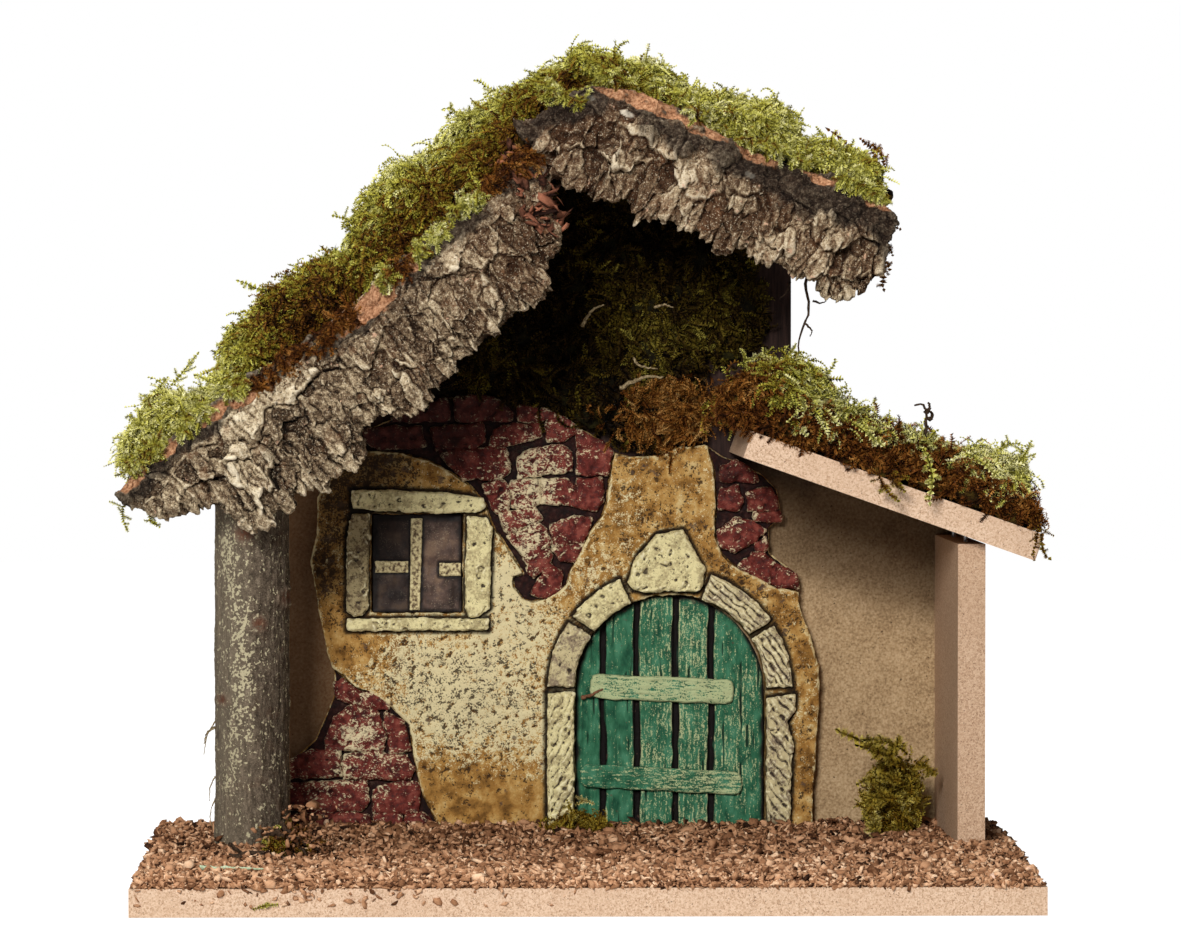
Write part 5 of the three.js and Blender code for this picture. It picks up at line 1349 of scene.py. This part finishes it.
# Grains heaped against the post and the wall, and a few stuck on the front edge.
dice = np.random.default_rng(413)
heaps = [
    (-107, -19, 12, 8, 420, 12), (-101, -15, 9, 6, 220, 20), (-137, -8, 5, 8, 150, 7),
    (-121, -16, 12, 4, 160, 5), (141, -14, 8, 4, 130, 6), (96, 68, 8, 6, 110, 8), (150, 10, 3, 40, 160, 3),
    (-60, 70, 45, 4, 240, 4), (-144, 40, 8, 36, 100, 2), (133, 40, 3, 34, 110, 4)]
heap_spots = np.concatenate([
    np.column_stack([
        dice.normal(x, wide / 2, n), dice.normal(y, deep / 2, n), litter_top + high * dice.random(n) ** 1.6])
    for x, y, wide, deep, n, high in heaps])
crumbs("litter_heaps", heap_spots, np.clip(dice.lognormal(0.6, 0.3, len(heap_spots)), 1.0, 3.2),
       0.42 + 0.2 * dice.normal(0, 1, len(heap_spots)), dice, crumb_paint, "cork_crumb")
edge_count, rim_count = 90, 1500
edge_spots = np.column_stack([
    np.clip(dice.normal(-88, 34, edge_count), -157, 157), np.full(edge_count, -90.4),
    10.4 - 6.5 * dice.random(edge_count) ** 1.6])
rim_spots = np.column_stack([
    dice.uniform(-base_reach, base_reach, rim_count), -89.6 + 1.2 * dice.random(rim_count) ** 2,
    10.2 + 1.5 * dice.random(rim_count)])
edge_spots = np.concatenate([edge_spots, rim_spots])
edge_count += rim_count
crumbs("litter_on_edge", edge_spots, np.clip(dice.lognormal(0.45, 0.35, edge_count), 0.8, 3.0),
       0.5 + 0.2 * dice.normal(0, 1, edge_count), dice, crumb_paint, "cork_crumb")


# Loose clumps: a leaning bush of moss in the right corner, a golden tuft at the door's foot and dry
# moss at the foot of the post. Each is a small mat with fronds that stand up all round.
golden_fronds = frond_finish("golden_fronds", [
    (0.0, "1c0f03"), (0.2, "54370c"), (0.4, "7a5c15"), (0.6, "98822a"), (0.8, "b5a34a"), (1.0, "d8ca86")])

bush_middle, tuft_middle = 117, 4


def bush_swell(shape, normals):
    """The mound is drawn down, narrow at the foot and broad above, and the branches stand out of it."""
    high = soft_step(shape[:, 2], 12, 60)[:, None]
    girth = np.interp(shape[:, 2], [12, 20, 34, 52, 70], [0.42, 0.55, 0.95, 1.7, 1.9])
    spread = (shape[:, 0] - bush_middle) * (girth - 1)
    return np.array([2, 0, -5]) * high - 2.0 * normals * high + spread[:, None] * [1, 0, 0]


def tuft_swell(shape, normals):
    """The tuft lies low on the litter."""
    high = soft_step(shape[:, 2], 12, 24)[:, None]
    return np.array([0, 0, -5]) * high + ((tuft_middle - shape[:, 0]) * 0.25)[:, None] * [1, 0, 0]


for name, node_name, swell, count, seed, material, slot_name, stands, tone in (
        ("corner_bush", "corner_moss_bush", bush_swell, 2300, 331, golden_fronds, "dark_moss", 1.2, 0.5),
        ("door_tuft", "door_moss_tuft", tuft_swell, 1400, 332, golden_fronds, "dark_moss", 0.8, 0.4),
        ("post_foot_clump", "post_foot_moss", no_swell, 260, 334, green_fronds, "dried_moss", 0.8, 0.16)):
    clump = moss_bed(name, node_name, 1.2, 1.5, swell, gable_mat, slot_name, seed)
    fronds_on(
        name + "_fronds", clump, count, seed + 10, seed,
        lambda p, n: (n[:, 2] > -0.5) * (p[:, 2] > litter_top),
        lambda p: tone + 0.3 * unevenness(p, 9, 341, 2),
        material, slot_name, stands, (0, 0, 0.3), (5.5, 1.0))


# Sprigs: single long fronds that stand out of the moss, laid by hand with a dab of glue.
# They are the same dried moss as the mats, each a thin stem with short side shoots.
def route(corners, stops):
    """A smooth line of even steps through a few corners."""
    corners = np.asarray(corners, float)
    walked = np.concatenate([[0], np.cumsum(np.linalg.norm(np.diff(corners, axis=0), axis=1))])
    stations = np.linspace(0, walked[-1], stops)
    line = np.column_stack([np.interp(stations, walked, corners[:, i]) for i in range(3)])
    for _ in range(3):
        line[1:-1] = (line[:-2] + 2 * line[1:-1] + line[2:]) / 4
    return line


def sprigs(name, stems, seed, material, slot_name, shoots=7, shoot_length=5.0):
    """Stems as [width, tone, corners], each with a few short side shoots."""
    dice = np.random.default_rng(seed)
    spines, widths, tones = [], [], []
    share = np.linspace(0, 1, frond_joints + 1)
    for width, tone, corners in stems:
        line = route(corners, frond_joints + 1)
        line[1:] += np.cumsum(dice.normal(0, 0.12, (frond_joints, 3)), axis=0)
        spines.append(line)
        widths.append(width)
        tones.append(tone)
        for _ in range(shoots):
            start = dice.integers(1, frond_joints - 1)
            aim = unit(unit(line[start + 1] - line[start]) + dice.normal(0, 0.75, 3) * [1, 0.6, 1])
            curl = dice.normal(0, 1.2, 3)
            reach = shoot_length * dice.uniform(0.5, 1.1) * (1.15 - share[start])
            spines.append(line[start] + reach * share[:, None] * aim + curl * share[:, None] ** 2)
            widths.append(0.8 * width)
            tones.append(tone + 0.05 * dice.normal())
    uppers = np.tile([0.0, -1.0, 0.15], (len(spines), 1))
    leafed(name, np.array(spines), uppers, np.array(widths), np.array(tones), dice, material, slot_name)


sprigs("left_roof_sprigs", [
    [1.3, 0.62, [(-111, 0, 214), (-117, -2, 219), (-126, -3, 223)]],
    [1.2, 0.8, [(-150, 0, 184), (-144, -2, 190), (-139, -3, 196)]],
    [1.1, 0.75, [(-158, 0, 178), (-154, -2, 184), (-151, -3, 188)]],
    [1.0, 0.6, [(-80, 2, 240), (-86, 0, 245), (-91, -2, 246)]],
    [1.2, 0.66, [(-38, 2, 272), (-44, 0, 279), (-48, -1, 286), (-52, -2, 285)]],
    [1.3, 0.82, [(-26, 0, 289), (-32, -3, 292), (-37, -5, 288)]],
    [1.5, 0.8, [(-10, -14, 289), (0, -22, 285), (4, -27, 278)]],
    [1.1, 0.6, [(-166, -18, 142), (-167, -20, 137), (-165, -20, 132)]],
    [1.0, 0.55, [(-158, -18, 141), (-157, -20, 136), (-153, -21, 133)]],
], 351, green_fronds, "green_moss")
sprigs("right_roof_sprigs", [
    [1.2, 0.5, [(110, 6, 262), (103, 3, 266), (96, 1, 273), (88, 0, 278)]],
    [1.2, 0.45, [(108, 8, 264), (106, 6, 270), (101, 4, 274)]],
    [1.1, 0.55, [(111, 4, 262), (109, 2, 268), (105, 1, 272)]],
    [1.0, 0.6, [(106, 10, 245), (111, 8, 244), (117, 6, 241)]],
    [1.1, 0.6, [(106, 8, 238), (111, 6, 236), (114, 6, 231)]],
    [1.3, 0.66, [(106, 4, 236), (110, 2, 229), (109, 0, 222), (110, -1, 218)]],
    [1.2, 0.6, [(108, 8, 240), (111, 6, 233), (113, 5, 226)]],
], 352, rust_fronds, "green_moss", shoots=10)
sprigs("lean_to_sprigs", [
    [1.2, 0.66, [(76, 30, 188), (75, 28, 193), (78, 26, 197), (82, 26, 195)]],
    [1.1, 0.72, [(58, 34, 191), (64, 30, 195), (71, 28, 195)]],
    [1.4, 0.7, [(122, -26, 162), (125, -31, 152), (124, -33, 141)]],
    [1.5, 0.76, [(80, -16, 180), (86, -22, 176), (92, -26, 170)]],
    [1.5, 0.78, [(74, -14, 176), (75, -22, 170), (80, -26, 166)]],
    [1.5, 0.74, [(94, -18, 172), (100, -24, 169), (108, -27, 162)]],
    [1.4, 0.74, [(138, -16, 160), (144, -22, 156), (150, -26, 150)]],
    [1.2, 0.7, [(158, -8, 155), (161, -10, 160), (163, -10, 164)]],
    [1.2, 0.7, [(150, -8, 160), (156, -12, 164), (160, -14, 162)]],
    [1.0, 0.26, [(163, -24, 138), (165, -27, 130), (164, -28, 125), (168, -29, 122)]],
    [1.0, 0.2, [(164, -24, 136), (163, -27, 129), (161, -28, 122)]],
    [1.3, 0.27, [(106, -27, 152), (109, -32, 147), (113, -33, 143)]],
    [1.3, 0.24, [(110, -27, 152), (112, -32, 148), (115, -33, 146)]],
], 353, green_fronds, "green_moss", shoots=9)
sprigs("corner_sprigs", [
    [2.2, 0.62, [(120, 40, 44), (114, 38, 49), (107, 36, 50), (101, 34, 53), (95, 33, 56)]],
    [2.1, 0.55, [(121, 38, 41), (114, 36, 46), (107, 34, 49), (101, 33, 51)]],
    [2.0, 0.66, [(122, 40, 46), (116, 38, 51), (110, 36, 52), (104, 34, 53)]],
    [1.8, 0.6, [(120, 40, 36), (112, 38, 38), (106, 36, 37), (102, 35, 35)]],
    [1.7, 0.55, [(118, 36, 30), (110, 33, 31), (105, 32, 28)]],
    [1.7, 0.5, [(124, 38, 44), (129, 37, 42), (132, 36, 38)]],
    [1.5, 0.7, [(113, 34, 14), (109, 31, 20), (108, 30, 26)]],
], 354, golden_fronds, "dark_moss", shoots=20)
sprigs("door_foot_sprigs", [
    [0.9, 0.95, [(-2, 44, 27), (2, 42, 29), (5, 41, 27)]],
    [1.1, 0.6, [(-4, 46, 18), (-3, 44, 25), (-5, 43, 30)]],
    [1.1, 0.5, [(4, 44, 16), (6, 42, 21), (10, 41, 22)]],
], 355, golden_fronds, "dark_moss", shoots=5, shoot_length=4.0)
sprigs("front_edge_sprig", [
    [1.0, 0.55, [(-117, -91, 3), (-113, -91, 4), (-108, -91, 5)]],
], 356, green_fronds, "green_moss", shoots=6, shoot_length=3.0)


# Twigs: dry stalks in the litter and in the moss, torn roots that hang from the roof, and loose fibres.
# They are dead wood and grass, from half a millimetre to three and a half thick, caught in the glue.
def twig_finish(name, dark, light):
    finish = Finish(name, 0.85)
    body = finish.ramp(finish.grain(0.8, 4, 0.65), [(0.35, dark), (0.65, light)])
    return finish.done(body, finish.grain(0.5, 3), 0.2)


def twigs(name, stems, seed, material, slot_name):
    """Stalks as [radius, corners], round and uneven, thinner to the tip."""
    dice = np.random.default_rng(seed)
    stops, sides = 14, 6
    turns = np.linspace(0, 2 * math.pi, sides, endpoint=False)
    points, faces = [], []
    for radius, corners in stems:
        line = route(corners, stops)
        line[1:-1] += dice.normal(0, 0.25 * radius, (stops - 2, 3))
        heading = unit(np.gradient(line, axis=0))
        side = unit(np.cross(heading, (0.3, 0.2, 1)))
        upper = np.cross(side, heading)
        thick = radius * np.linspace(1, 0.4, stops)[:, None] * dice.normal(1, 0.13, (stops, sides))
        rings = line[:, None] + thick[..., None] * (
            side[:, None] * np.cos(turns)[None, :, None] + upper[:, None] * np.sin(turns)[None, :, None])
        first = len(points)
        points += list(rings.reshape(-1, 3)) + [line[0], line[-1]]
        root, tip = first + stops * sides, first + stops * sides + 1
        for j in range(sides):
            k = (j + 1) % sides
            faces += [(root, first + k, first + j), (tip, tip - 1 - sides + j, tip - 1 - sides + k)]
            for i in range(stops - 1):
                a, b = first + i * sides + j, first + i * sides + k
                faces += [(a, b, b + sides), (a, b + sides, a + sides)]
    piece(name, mesh_of(np.array(points), np.array(faces)), material, slot_name)


dark_twig = twig_finish("dark_twig", "17100b", "4c3a2b")
dry_stalk = twig_finish("dry_stalk", "4a3a26", "a89672")
twigs("litter_twigs", [
    [1.7, [(-131, -30, 15), (-117, -28, 16), (-106, -27, 15), (-97, -26, 14)]],
    [1.5, [(-114, -25, 24), (-106, -24, 22), (-96, -22, 17)]],
    [1.2, [(-110, -22, 27), (-104, -24, 21), (-100, -26, 15)]],
    [0.9, [(-128, -30, 20), (-124, -29, 17), (-118, -30, 14)]],
], 361, dark_twig, "dried_moss")
twigs("roof_twigs", [
    [0.8, [(125, -8, 165), (124, -9, 171), (125, -9, 175), (123, -10, 178), (120, -10, 177)]],
    [0.9, [(125, -9, 172), (127, -9, 173), (126, -10, 175)]],
    [0.9, [(124, -9, 174), (126, -10, 176), (125, -10, 178)]],
    [0.7, [(82, 8, 226), (81, 6, 219), (84, 5, 214), (81, 4, 207), (78, 4, 200), (79, 4, 196)]],
    [0.5, [(84, 5, 215), (87, 5, 214), (89, 5, 215)]],
    [0.5, [(81, 4, 207), (84, 4, 204), (83, 4, 202)]],
    [0.5, [(76, 8, 222), (74, 6, 217), (72, 5, 216)]],
], 362, dark_twig, "dark_moss")
twigs("gable_stalks", [
    [0.8, [(1, 58, 206), (4, 54, 212), (9, 53, 214)]],
    [0.9, [(15, 50, 183), (24, 46, 187), (31, 46, 187)]],
    [0.6, [(28, 56, 213), (32, 54, 214), (35, 53, 213)]],
    [0.6, [(20, 52, 194), (22, 50, 191), (29, 50, 190)]],
], 363, dry_stalk, "dark_moss")
twigs("post_fibres", [
    [0.3, [(-134, -3, 62), (-137, -4, 57), (-138, -4, 50)]],
    [0.3, [(-134, -2, 42), (-136, -3, 38), (-136, -3, 33)]],
    [0.3, [(-134, -3, 34), (-136, -4, 28), (-135, -4, 23)]],
    [0.5, [(-134, -3, 60), (-137, -4, 58), (-138, -4, 54)]],
], 364, dry_stalk, "dried_moss")
twigs("door_sliver", [
    [0.8, [(1, 78, 65), (6, 77, 66.5), (9, 77, 68.5)]],
], 365, twig_finish("brown_sliver", "5a3a28", "8a6248"), "dried_moss")
twigs("green_sliver", [
    [0.9, [(-137, -56, 14), (-126, -57, 14), (-113, -58, 13.5)]],
], 366, twig_finish("pale_green_sliver", "93a787", "c3cfae"), "dried_moss")


# Shattered cork: where the two eaves meet under the ridge the bark broke into reddish shards.
# A few stray chips of paint and stone lie in the litter.
def chip_finish(name, dark, light):
    finish = Finish(name, 0.85)
    tone = finish.sum(finish.measure("tone"), (finish.grain(0.8, 3), 0.4), -0.2)
    return finish.done(finish.ramp(tone, [(0.2, dark), (0.8, light)]), finish.grain(0.5, 3), 0.3)


dice = np.random.default_rng(415)
shard_count = 420
shard_line = dice.random(shard_count)[:, None]
shard_spots = np.array([-27, -25, 264]) + shard_line * [15, 0, -22]
shard_spots = shard_spots + 3 * dice.normal(0, 1, (shard_count, 3))
crumbs("cork_shards", shard_spots, np.clip(dice.lognormal(0.9, 0.35, shard_count), 1.2, 4.5),
       0.42 + 0.26 * dice.normal(0, 1, shard_count), dice, chip_finish("red_cork", "22110b", "a56a50"),
       "cork_bark", (2.4, 0.8, 0.28))
for name, spots, sizes, dark, light, slot_name in (
        ("teal_flakes", [(-51, 30, 13.5), (132, -10, 13.5), (-49, 27, 13)], [4, 3, 2.5],
         "0b4a4a", "1f8f8c", "green_paint"),
        ("cream_chips", [(137, 0, 14.5), (133, -24, 14)], [3.5, 3], "b9a67e", "e9dfb6", "painted_stone"),
        ("pink_chips", [(156, -62, 13.5), (141, -84, 12.5)], [4.5, 3.5], "b8876c", "f0cdb4", "cork_crumb")):
    crumbs(name, np.array(spots, float), np.array(sizes, float), np.full(len(spots), 0.6), dice,
           chip_finish(name, dark, light), slot_name)
